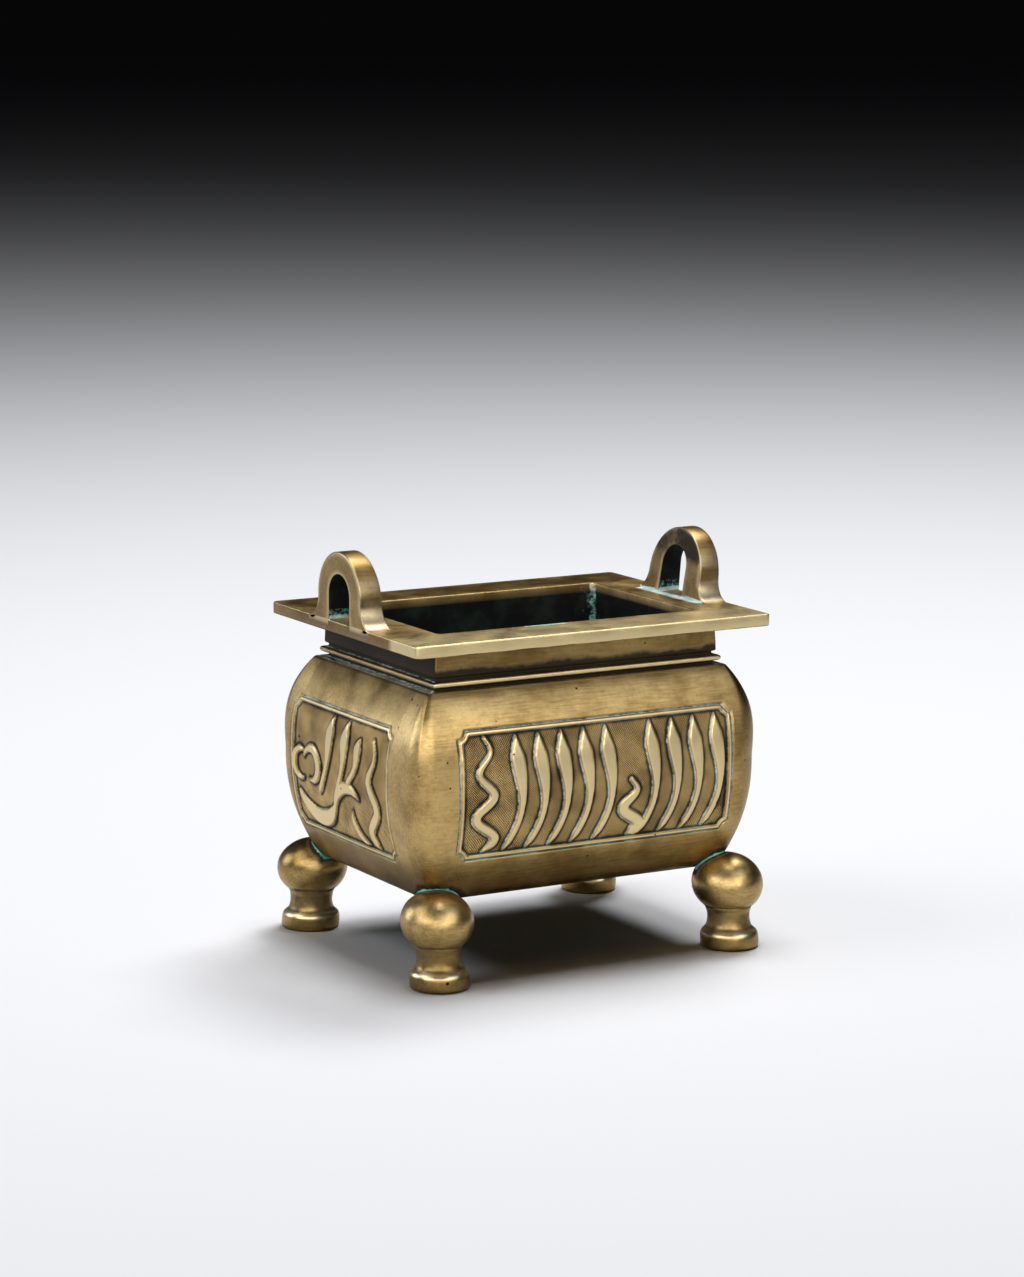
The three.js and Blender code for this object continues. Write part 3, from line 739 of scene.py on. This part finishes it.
def handle_fields(points, fields):
    """Adds the handles' soot, crust, worn edges, dark blotches and browned faces to the body's fields, with
    a thin grey coat on their narrow faces that partly paints the floor's reflection, painted shade there,
    and a painted dark reflection on their near side.
    """
    x, y, z = points.T
    rise = z - RIM_TOP
    for (side, offset, slope, skew), arch_sizes, hole_sizes in HANDLES.values():
        arch_half, arch_spring = arch_sizes
        hole_half, hole_spring, hole_shift = hole_sizes
        along = side * (y - offset - skew * rise)
        inward = RIM_HALF[0] - side * x
        zone = (side * x > 60) & (rise > 0.02)
        over_hole = np.hypot(along - hole_shift, np.maximum(rise - hole_spring, 0.0)) - hole_half
        reach = arch_half + ARCH_FLARE
        flare = np.hypot(np.abs(along) - reach, rise - ARCH_FLARE) - ARCH_FLARE
        arch = arch_half - np.hypot(along, np.maximum(rise - arch_spring, 0.0))
        depth = np.where(rise < ARCH_FLARE, flare, arch)
        thickness = HANDLE_THICKNESS - slope * rise
        wall = zone & (np.abs(over_hole) < 0.3)
        narrow = zone & (depth < 0.3) & (over_hole > 1)
        inner_face = zone & (inward > thickness - 0.8) & ~narrow & ~wall
        facing = narrow & (side * along < 0)
        sill = zone & (rise < 1.4) & (over_hole < 0.2)
        low_wall = wall & (rise < 4.5) & ~sill
        hole_edge = zone & (np.abs(over_hole - 0.5) < 0.3)
        arris = zone & (depth > 0.02) & (depth < 0.8) & (over_hole > 1)
        # Painted dark reflection in a band at mid-height on the narrow faces' near side. The grey film
        # below and above it also paints the pale floor's reflection
        band = ease(5.0, 8.5, rise) * ease(16.0, 12.0, rise)
        film = ease(12.0, 7.0, rise) * 0.65 + ease(12.0, 14.5, rise) * ease(21.0, 17.0, rise) * 0.5
        blotch = 0.34 + 0.34 * ease(12.0, 19.0, rise) if side > 0 else 0.3
        base = (side * x > 60) & (np.abs(along) < reach - 4) & (np.abs(rise) < 1.0)
        base = base & (inward > HANDLE_THICKNESS - 1.5) & (inward < HANDLE_THICKNESS + 1.5)
        for field, where, value in (
            ("soot", wall, 1.0),
            ("soot", sill, 0.2),
            ("crust", sill, 1.0),
            ("crust", low_wall, 0.55),
            ("wear", hole_edge | arris, 0.5),
            # Painted dark reflection, painted shade on the narrow faces, and a grey film that partly paints
            # the floor's reflection
            ("grime", facing, 0.55 * band),
            ("tarnish", narrow, 0.8),
            ("film", narrow, film),
            ("grime", inner_face, blotch),
            ("tarnish", zone & ~narrow, 0.55),
            ("crust", base, 1.0 if side > 0 else 0.6),
        ):
            fields[field] = np.where(where, value, fields[field])


def body_fields(mesh, strokes):
    """Stores where the body is carved, grimy, worn, browned and crusted, and where it has painted shade,
    painted highlights and a painted dark reflection.
    """
    points = mesh_points(mesh)
    x, y, z = points.T
    edge, side, border, panel = carving(points, strokes)
    room = body_room(points)
    off_x, off_y = np.abs(x) - NECK_HALF[0], np.abs(y) - NECK_HALF[1]
    off_neck = np.maximum(off_x, off_y)
    inside = np.where(z < 113.0, room > 3, off_neck < -1.5)
    inside = inside & (z < RIM_TOP - 0.3) & (z > FLOOR_HEIGHT - 0.5)
    soot = np.where(inside, ease(RIM_TOP - 0.2, RIM_TOP - 2.0, z), 0.0)
    outer = ~inside & (z > 113.0) & (z < RIM_BOTTOM + 0.3)
    end_face = ease(-0.4, 0.4, off_x - off_y)
    # Painted shade: the neck's grooves, the neck just above them, its end sides under the rim's overhang,
    # the strip right under the rim and the crease at the shoulder are darkened where shade falls
    groove = np.where(outer & (z < 120.5), ease(0.9, -0.5, off_neck), 0.0)
    neck_foot = np.where(outer & (z > 118.5), ease(125.5, 119.5, z) * 0.95, 0.0)
    neck_end = np.where(outer & (z > 118.5), end_face, 0.0)
    under_rim_shade = np.where(outer & (z > 129), 0.6, 0.0)
    shoulder_crease_shade = np.where(~inside & (z > 112.0) & (z < 114.2), ease(4.0, 1.0, off_neck) * 0.6, 0.0)
    joint = ball_gap(points)
    foot_joint = np.where(z < 45, ease(1.3, 0.2, joint), 0.0)
    # Painted shade on the body round the tops of the feet and on its underside
    near_foot_shade = np.where(z < 48, ease(7.0, 0.5, joint), 0.0)
    underside = np.where(~inside, ease(35.0, 31.9, z), 0.0)
    rim_edge = np.minimum(RIM_HALF[0] - np.abs(x), RIM_HALF[1] - np.abs(y))
    mouth_edge = np.maximum(np.abs(x) - MOUTH_HALF[0], np.abs(y) - MOUTH_HALF[1])
    rim_top = ~inside & (z > RIM_TOP - 0.6) & (z < RIM_TOP + 0.02)
    # Pale along the rim's outer top edge, partly rubbed and partly a painted highlight on the arris; a
    # little paler round the mouth where it is rubbed
    wear = np.where(rim_top, 0.6 * ease(0.8, 0.3, rim_edge) * ease(RIM_TOP - 0.56, RIM_TOP - 0.3, z), 0.0)
    mouth_wear = np.maximum(wear, 0.2 * ease(1.3, 0.6, mouth_edge))
    wear = np.where(rim_top & (mouth_edge > 0.1), mouth_wear, wear)
    # Painted highlight: the whole front part of the rim is made pale
    front_strip = (z > RIM_BOTTOM) & (y < -MOUTH_HALF[1] - 0.6)
    wear = np.where(front_strip, np.maximum(wear, 0.9), wear)
    # Painted highlight on the neck's fillet, bright on the front and faint on the end sides
    fillet = np.where(outer & (z < 118), ease(0.9, 1.8, off_neck) * (1 - 0.8 * end_face), 0.0)
    groove_line = (np.abs(z - 117.6) < 0.2) | (np.abs(z - 113.8) < 0.25)
    crust = np.where(outer & groove_line, 0.42 + 0.2 * end_face, 0.0)
    inner_corner = np.hypot(MOUTH_HALF[0] - x, MOUTH_HALF[1] - y)
    for most, near, far in ((0.62, 1.0, 5.0), (0.42, 5.0, 20.0)):
        in_corner = np.maximum(crust, most * ease(far, near, inner_corner))
        crust = np.where(inside & (z > 100), in_corner, crust)
    end_shoulder = (np.abs(y) < 40) * (np.abs(x) > 60) * (z < 125)
    tarnish = 0.85 * ease(54.0, 42.0, z) + 0.45 * ease(96.0, 106.0, z) * end_shoulder
    # Painted dark reflection: browner round the right corners of the belly
    right_corner_shade = ease(WIDEST[0] - 22, WIDEST[0] - 8, x)
    right_corner_shade = right_corner_shade * ease(WIDEST[1] - 22, WIDEST[1] - 8, np.abs(y))
    tarnish = np.maximum(tarnish, 0.6 * right_corner_shade)
    tarnish = np.where(outer, 0.55, tarnish)
    # Browner on the rim's outer sides, most on the left end
    rim_side = (z > RIM_BOTTOM) & (z < RIM_TOP - 0.4) & (rim_edge < 0.3)
    tarnish = np.where(rim_side, 0.25 + 0.6 * (x < -RIM_HALF[0] + 0.4), tarnish)
    # Painted shade: the back part of the rim is browned
    tarnish = np.where((z > RIM_BOTTOM + 1) & (y > MOUTH_HALF[1]), 0.8, tarnish)
    # The grime field also holds painted shade, the wear field painted highlights, and the tarnish field
    # painted shade and a painted dark reflection
    fields = {
        "grime": np.maximum.reduce([
            groove, neck_foot, neck_end, under_rim_shade, shoulder_crease_shade, near_foot_shade * 0.8, underside * 0.7,
        ]),
        "soot": soot,
        "wear": np.maximum(wear, fillet),
        "crust": np.maximum(foot_joint, crust),
        "film": np.zeros(len(points)),
        "tarnish": tarnish,
    }
    handle_fields(points, fields)
    fields = {name: np.clip(values, 0, 1) for name, values in fields.items()}
    fields.update({"edge": edge, "edge_side": side, "border": border, "panel": panel})
    for name, values in fields.items():
        store(mesh, name, values)


def foot_fields(mesh):
    """Stores where a foot is grimy, worn, browned and crusted, and where it has painted shade in its
    creases, on its waist and round its top.
    """
    points = mesh_points(mesh)
    z = points[:, 2]
    depth = body_room(points)
    # Painted shade: darker in the collar crease, in the crease above the disc, on the waist under the ball,
    # and round the top of the ball where it meets the body
    crease = ease(2.4, 0.3, np.abs(z - 16.9)) * 0.56
    disc_crease = ease(2.0, 0.2, np.abs(z - 8.0)) * 0.62
    waist = ease(8.0, 9.5, z) * ease(16.5, 14.0, z) * 0.5
    ball_top_shade = ease(-6, -0.5, depth) * 0.85
    fields = {
        **dict.fromkeys(("edge", "border", "panel"), np.full(len(z), -FAR)),
        **dict.fromkeys(("edge_side", "soot", "film"), np.zeros(len(z))),
        "grime": np.clip(np.maximum.reduce([crease, disc_crease, waist, ball_top_shade]), 0, 1),
        "wear": ease(5.2, 6.4, z) * ease(7.6, 6.9, z),
        "crust": ease(-1.3, -0.2, depth),
        "tarnish": np.where(z < 17, 0.65, 0.3),
    }
    for name, values in fields.items():
        store(mesh, name, values)


def colour(hex_code):
    """A colour from its sRGB hex code, as linear red, green, blue and alpha."""
    parts = [int(hex_code[place:place + 2], 16) / 255 for place in (1, 3, 5)]
    return (*[p / 12.92 if p <= 0.04045 else ((p + 0.055) / 1.055) ** 2.4 for p in parts], 1.0)


def add(tree, kind, settings, inputs, output=0):
    """Adds a node and returns one of its outputs. Its inputs, values or other nodes' outputs, are a row
    in their order, or go by name or place."""
    node = tree.nodes.new(kind)
    for name, value in settings.items():
        setattr(node, name, value)
    for key, value in inputs.items() if isinstance(inputs, dict) else enumerate(inputs):
        if isinstance(value, bpy.types.NodeSocket):
            tree.links.new(value, node.inputs[key])
        else:
            node.inputs[key].default_value = value
    return node.outputs[output] if node.outputs else None


# Settings and kinds of nodes. A Map Range takes the value, its low and high end and what these become.
# A Mix takes the share at 0, and two numbers at 2 and 3 or two colours at 6 and 7
SMOOTH = {"interpolation_type": "SMOOTHSTEP"}
RGBA = {"data_type": "RGBA"}
TIMES = {"operation": "MULTIPLY"}
TIMES_PLUS = {"operation": "MULTIPLY_ADD"}
LESS = {"operation": "SUBTRACT"}
MOST = {"operation": "MAXIMUM"}
NOISE = "ShaderNodeTexNoise"
MATH = "ShaderNodeMath"
RANGE = "ShaderNodeMapRange"
MIX = "ShaderNodeMix"


def bronze(name, tones, base_roughness):
    """Cast bronze, filed and hand polished, with old wax, soiling, painted shade and verdigris in what lies
    deep.

    To the eye that is a soft golden sheen, cloudy rather than mirror bright, with painted highlights on
    some edges and the rim's front, brown where the polish stops and with painted shade and a painted dark
    reflection in places, near black in corners from soiling and painted shade, with thin chalky green lines
    where copper salts have grown.
    """
    dark, middle, pale_rubbed_and_highlight, tarnished_and_shaded = (colour(tone) for tone in tones)
    material = bpy.data.materials.new(name)
    material.use_nodes = True
    tree = material.node_tree
    tree.nodes.clear()
    node = partial(add, tree)
    place = node("ShaderNodeTexCoord", {}, {}, "Object")
    field = {
        stored: node("ShaderNodeAttribute", {"attribute_name": stored}, {}, "Fac")
        for stored in (
            "edge", "edge_side", "border", "panel", "grime", "soot", "wear", "crust", "film", "tarnish",
        )
    }
    level = node("ShaderNodeSeparateXYZ", {}, {"Vector": place}, "Z")
    wide = node(NOISE, {}, {"Vector": place, "Scale": 1000 / 38, "Detail": 3.0, "Roughness": 0.55})
    patch = node(NOISE, {}, {"Vector": place, "Scale": 1000 / 11, "Detail": 4.0, "Roughness": 0.6})
    grain = node(NOISE, {}, {"Vector": place, "Scale": 1000 / 1.6, "Detail": 4.0, "Roughness": 0.65})
    fleck = node(NOISE, {}, {"Vector": place, "Scale": 1000 / 0.55, "Detail": 2.0, "Roughness": 0.6})
    # Filing and rubbing marks: streaks about 9 mm long and 0.8 mm wide, along the vessel
    drawn = node("ShaderNodeMapping", {}, {"Vector": place, "Scale": (110.0, 1200.0, 1200.0)})
    streak = node(NOISE, {}, {"Vector": drawn, "Scale": 1.0, "Detail": 3.0, "Roughness": 0.6})

    # Ground of the panels: rows of matting punch marks, 0.95 mm apart
    punch_size = 2 * math.pi / 0.00095
    flat = node("ShaderNodeVectorMath", {"operation": "DOT_PRODUCT"}, (place, (1.0, 1.0, 0.0)), "Value")
    wobble = node(MATH, TIMES, (patch, 9.0))
    flat = node(MATH, TIMES_PLUS, (flat, punch_size, wobble))
    upright = node(MATH, TIMES_PLUS, (level, punch_size, wobble))
    flat = node(MATH, {"operation": "SINE"}, {0: flat})
    upright = node(MATH, {"operation": "SINE"}, {0: upright})
    punch = node(MATH, TIMES, (flat, upright))
    ground = node(RANGE, SMOOTH, (field["edge"], 0.05, 0.4))

    # Bare metal: two cloudy tones, paler where hands and cloths rub and with painted highlights, browner
    # where they don't reach and with painted shade and a painted dark reflection
    tone = node(MIX, {}, {0: 0.45, 2: wide, 3: patch})
    tone = node(MIX, {}, {0: 0.25, 2: tone, 3: streak})
    cloudy = node(RANGE, SMOOTH, (tone, 0.36, 0.62))
    metal = node(MIX, RGBA, {0: cloudy, 6: dark, 7: middle}, 2)
    speckle = node(RANGE, SMOOTH, (grain, 0.45, 0.75, 0.0, 0.35))
    metal = node(MIX, RGBA, {0: speckle, 6: metal, 7: dark}, 2)
    uneven = node(RANGE, {}, (tone, 0.35, 0.65, 1.25, 0.75))
    brown = node(MATH, {"operation": "MULTIPLY", "use_clamp": True}, (field["tarnish"], uneven))
    metal = node(MIX, RGBA, {0: brown, 6: metal, 7: tarnished_and_shaded}, 2)
    on_stroke = node(RANGE, SMOOTH, (field["edge"], -0.1, -0.5))
    in_panel = node(RANGE, SMOOTH, (field["panel"], -BORDER_FILLET - 0.1, -BORDER_FILLET + 0.1))
    on_stroke = node(MATH, TIMES, (on_stroke, in_panel))
    # The wear field brings painted highlights into polished, as well as rubbed spots
    polished = node(MATH, MOST, (field["wear"], on_stroke))
    polished = node(MATH, TIMES, (polished, 0.8))
    metal = node(MIX, RGBA, {0: polished, 6: metal, 7: pale_rubbed_and_highlight}, 2)
    matting = node(MATH, TIMES_PLUS, (punch, 0.46, patch))
    matting = node(RANGE, SMOOTH, (matting, 0.3, 0.74))
    matting = node(MIX, RGBA, {0: matting, 6: colour("#4C371B"), 7: colour("#DFBE7E")}, 2)
    metal = node(MIX, RGBA, {0: ground, 6: metal, 7: matting}, 2)

    # Dirt and painted shade: near black beside the strokes and in a few pits from dirt, and in the creases
    # as painted shade, broken up by the noise
    ragged = node(MATH, TIMES_PLUS, (patch, 1.8, field["edge"]))
    beside = node(RANGE, SMOOTH, (ragged, 3.0, 1.55, 0.0, 0.97))
    beside = node(MATH, TIMES, (beside, ground))
    dents = node(RANGE, SMOOTH, (punch, 0.1, -0.7, 0.0, 0.7))
    dents = node(MATH, TIMES, (dents, ground))
    deep = node(MATH, LESS, (patch, 0.5))
    # The grime field brings painted shade into deep
    deep = node(MATH, TIMES_PLUS, (deep, 1.1, field["grime"]))
    deep = node(RANGE, SMOOTH, (deep, 0.3, 0.8, 0.0, 0.95))
    cells = node("ShaderNodeTexVoronoi", {}, {"Vector": place, "Scale": 190.0}, "Distance")
    gather = node(NOISE, {}, {"Vector": place, "Scale": 1000 / 26, "Detail": 2.0})
    pit_size = node(RANGE, SMOOTH, (gather, 0.52, 0.72, 0.0, 0.14))
    pits = node(MATH, LESS, (cells, pit_size))
    pits = node(RANGE, SMOOTH, (pits, 0.02, -0.02))
    clean = node(RANGE, SMOOTH, (field["soot"], 0.4, 0.0))
    pits = node(MATH, TIMES, (pits, clean))
    dirt_and_shade = beside
    for more in (dents, deep, pits, field["soot"]):
        dirt_and_shade = node(MATH, MOST, (dirt_and_shade, more))
    sooty = node(RANGE, SMOOTH, (patch, 0.42, 0.68))
    sooty = node(MIX, RGBA, {0: sooty, 6: colour("#050605"), 7: colour("#121A14")}, 2)
    dirt_and_shade_colour = node(MIX, RGBA, {0: field["soot"], 6: colour("#120D07"), 7: sooty}, 2)

    # Verdigris: chalky lines where a stroke's wall meets the ground, stronger on its left, where they also
    # paint a highlight on the wall that faces the light
    line_in = node(RANGE, SMOOTH, (field["edge"], 0.0, 0.2))
    line_out = node(RANGE, SMOOTH, (field["edge"], 0.7, 0.4))
    left_lit_and_frame = node(MATH, TIMES_PLUS, (field["edge_side"], 0.4, 0.34))
    framed = node(RANGE, SMOOTH, (field["border"], -0.5, 0.0, 0.0, 0.65))
    left_lit_and_frame = node(MATH, MOST, (left_lit_and_frame, framed))
    broken = node(MIX, {}, {0: 0.4, 2: grain, 3: patch})
    worn_off = node(RANGE, SMOOTH, (broken, 0.38, 0.56))
    line = line_in
    for share in (line_out, left_lit_and_frame, worn_off):
        line = node(MATH, TIMES, (line, share))
    chalky = node(MATH, LESS, (grain, 0.5))
    crust = node(MATH, TIMES_PLUS, (chalky, 0.9, field["crust"]))
    crust = node(RANGE, SMOOTH, (crust, 0.48, 0.82))
    splash = {"Vector": place, "Location": SPLASH_PLACE, "Scale": SPLASH_SCALE}
    splash = node("ShaderNodeMapping", {}, splash)
    splash = node("ShaderNodeVectorMath", {"operation": "LENGTH"}, {0: splash}, "Value")
    splash = node(MATH, TIMES_PLUS, (chalky, 1.6, splash))
    splash = node(RANGE, SMOOTH, (splash, 1.0, 0.7, 0.0, 0.9))
    green = node(MATH, MOST, (line, crust))
    green = node(MATH, {"operation": "MAXIMUM", "use_clamp": True}, (green, splash))
    low_down = node(RANGE, SMOOTH, (level, 0.056, 0.050))
    teal = node(MATH, MOST, (low_down, field["soot"]))
    teal = node(MATH, MOST, (teal, splash))
    whiter = node(RANGE, SMOOTH, (patch, 0.35, 0.65))
    teal_colour = node(MIX, RGBA, {0: whiter, 6: colour("#2F8574"), 7: colour("#8DB9AE")}, 2)
    white_colour = node(MIX, RGBA, {0: whiter, 6: colour("#8FAAA6"), 7: colour("#C6D0CB")}, 2)
    green_colour = node(MIX, RGBA, {0: teal, 6: white_colour, 7: teal_colour}, 2)

    # A thin grey film where the handles are held, which also paints the pale floor's reflection on their
    # narrow faces
    film = node(RANGE, SMOOTH, (broken, 0.42, 0.58, 0.35, 1.0))
    film = node(MATH, TIMES, (film, field["film"]))
    metal = node(MIX, RGBA, {0: film, 6: metal, 7: colour("#8E8676")}, 2)

    base = node(MIX, RGBA, {0: dirt_and_shade, 6: metal, 7: dirt_and_shade_colour}, 2)
    base = node(MIX, RGBA, {0: green, 6: base, 7: green_colour}, 2)
    thickly = node(RANGE, {}, (field["soot"], 0.0, 1.0, 0.85, 1.0))
    covered = node(MATH, TIMES, (dirt_and_shade, thickly))
    covered = node(MATH, MOST, (covered, green))
    metallic = node(MATH, LESS, (1.0, covered))
    smoother, rougher = base_roughness - 0.06, base_roughness + 0.08
    roughness = node(RANGE, {}, (patch, 0.25, 0.75, smoother, rougher))
    roughness = node(MATH, TIMES_PLUS, (chalky, 0.16, roughness))
    roughness = node(MATH, TIMES_PLUS, (ground, 0.1, roughness))
    chalk = node(MATH, TIMES, (covered, 0.85))
    roughness = node(MATH, MOST, (roughness, chalk))

    swells = node(NOISE, {}, {"Vector": place, "Scale": 1000 / 14, "Detail": 2.0})
    skin = node(MIX, {}, {0: 0.4, 2: grain, 3: fleck})
    marks = node(MATH, TIMES, (punch, ground))
    marks = node(MATH, LESS, (marks, pits))
    relief = {}
    for height, distance, strength in ((swells, 0.0006, 0.3), (skin, 0.00016, 0.4), (marks, 0.00025, 0.9)):
        relief = {"Height": height, "Distance": distance, "Strength": strength, **relief}
        relief = {"Normal": node("ShaderNodeBump", {}, relief)}
    shine = node(RANGE, {}, (covered, 0.0, 1.0, 0.5, 0.12))
    surface = node("ShaderNodeBsdfPrincipled", {}, {
        "Base Color": base, "Metallic": metallic, "Roughness": roughness, "Specular IOR Level": shine,
        **relief,
    })
    node("ShaderNodeOutputMaterial", {}, {"Surface": surface})
    return material


def area_light(name, place, size, power, tint, lights_only=None):
    """A rectangular softbox turned to the burner. It can be kept to one collection of objects."""
    lamp = bpy.data.lights.new(name, "AREA")
    lamp.shape = "RECTANGLE"
    lamp.size, lamp.size_y = size
    lamp.energy = power
    lamp.color = colour(tint)[:3]
    holder = bpy.data.objects.new(name, lamp)
    holder.location = place
    holder.rotation_mode = "QUATERNION"
    holder.rotation_quaternion = (Vector(LIGHT_TARGET) - Vector(place)).to_track_quat("-Z", "Y")
    bpy.context.scene.collection.objects.link(holder)
    if lights_only:
        holder.light_linking.receiver_collection = lights_only


class BurnerBodySettings(bpy.types.PropertyGroup):
    carving_depth: bpy.props.FloatProperty(
        name="Carving depth", description="How far the panel grounds lie below the strokes",
        default=0.001, min=0.0, max=0.003, unit="LENGTH",
    )
    roughness: bpy.props.FloatProperty(
        name="Polish", description="Roughness of the hand-polished bronze", default=BODY_ROUGHNESS,
        min=0.1, max=0.8, subtype="FACTOR",
    )


class BURNER_OT_body(bpy.types.Operator):
    """Cast the body with its rim, neck, belly, carved panels and handles"""

    bl_idname = "burner.body"
    bl_label = "Body"

    def execute(self, context):
        settings = context.scene.burner_body
        strokes = panel_strokes()
        body = finish_mesh("burner_body", body_mesh(strokes, settings.carving_depth / MM))
        handles = [finish_mesh("handle_" + name, handle_mesh(name)) for name in HANDLES]
        join_solids(body, handles)
        body_fields(body.data, strokes)
        body.data.materials.clear()
        body.data.materials.append(
            bronze("hand-polished cast bronze", BODY_TONES, settings.roughness)
        )
        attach(body, "root")
        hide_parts("vessel")
        return {"FINISHED"}


class BURNER_OT_feet(bpy.types.Operator):
    """Turn the four ball feet"""

    bl_idname = "burner.feet"
    bl_label = "Feet"

    def execute(self, context):
        finish = bronze("worn bright foot bronze", FOOT_TONES, FOOT_ROUGHNESS)
        for seed, (across, side_x) in enumerate((("left", -1), ("right", 1))):
            for along, side_y in (("front", -1), ("back", 1)):
                name = f"foot_{along}_{across}"
                foot = finish_mesh("cast_" + name, foot_mesh(side_x, side_y, seed * 2 + (side_y > 0)))
                foot_fields(foot.data)
                foot.data.materials.append(finish)
                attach(foot, "root")
                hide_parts(name)
        return {"FINISHED"}


class BURNER_OT_stage(bpy.types.Operator):
    """Set the floor, the softboxes and the camera"""

    bl_idname = "burner.stage"
    bl_label = "Stage"

    def execute(self, context):
        scene = context.scene
        bm = bmesh.new()
        bmesh.ops.create_grid(bm, x_segments=8, y_segments=8, size=FLOOR_HALF)
        mesh = bpy.data.meshes.new("floor")
        bm.to_mesh(mesh)
        bm.free()
        floor = bpy.data.objects.new("floor", mesh)
        scene.collection.objects.link(floor)
        material = bpy.data.materials.new("matt studio paper")
        material.use_nodes = True
        tree = material.node_tree
        tree.nodes.clear()
        node = partial(add, tree)
        surface = node("ShaderNodeBsdfPrincipled", {}, {
            "Base Color": colour(FLOOR_COLOUR), "Roughness": 0.9,
        })
        node("ShaderNodeOutputMaterial", {}, {"Surface": surface})
        mesh.materials.append(material)

        burner = bpy.data.collections.new("burner")
        for piece in scene.objects:
            if piece.type == "MESH" and piece != floor:
                burner.objects.link(piece)
        for name, light in SOFTBOXES.items():
            area_light(name, *light)
        for name, light in CARDS.items():
            area_light(name, *light, burner)

        world = bpy.data.worlds.new("dark studio")
        world.use_nodes = True
        world.node_tree.nodes["Background"].inputs["Color"].default_value = colour(STUDIO_DARK)
        scene.world = world

        camera = bpy.data.cameras.new("camera")
        camera.lens = CAMERA_LENS
        camera.clip_start = 0.05
        camera.clip_end = 60.0
        holder = bpy.data.objects.new("camera", camera)
        turn = Matrix((CAMERA_RIGHT, CAMERA_UP, CAMERA_BACK)).transposed().to_4x4()
        holder.matrix_world = Matrix.Translation(Vector(CAMERA_PLACE)) @ turn
        scene.collection.objects.link(holder)
        scene.camera = holder
        scene.view_settings.view_transform = "Standard"
        return {"FINISHED"}


class BURNER_PT_panel(bpy.types.Panel):
    """Lists the burner's pieces"""

    bl_label = "Incense burner"
    bl_idname = "BURNER_PT_panel"
    bl_space_type = "VIEW_3D"
    bl_region_type = "UI"
    bl_category = "Burner"

    def draw(self, context):
        column = self.layout.column()
        settings = context.scene.burner_body
        column.prop(settings, "carving_depth")
        column.prop(settings, "roughness")
        for operator in (BURNER_OT_body, BURNER_OT_feet, BURNER_OT_stage):
            column.operator(operator.bl_idname)


CLASSES = (BurnerBodySettings, BURNER_OT_body, BURNER_OT_feet, BURNER_OT_stage, BURNER_PT_panel)


def register():
    for cls in CLASSES:
        bpy.utils.register_class(cls)
    bpy.types.Scene.burner_body = bpy.props.PointerProperty(type=BurnerBodySettings)


def unregister():
    del bpy.types.Scene.burner_body
    for cls in reversed(CLASSES):
        bpy.utils.unregister_class(cls)


def main():
    register()
    for old in ("Cube", "Light", "Camera"):
        if old in bpy.data.objects:
            bpy.data.objects.remove(bpy.data.objects[old])
    bpy.ops.burner.body()
    bpy.ops.burner.feet()
    bpy.ops.burner.stage()


if __name__ == "__main__":
    main()
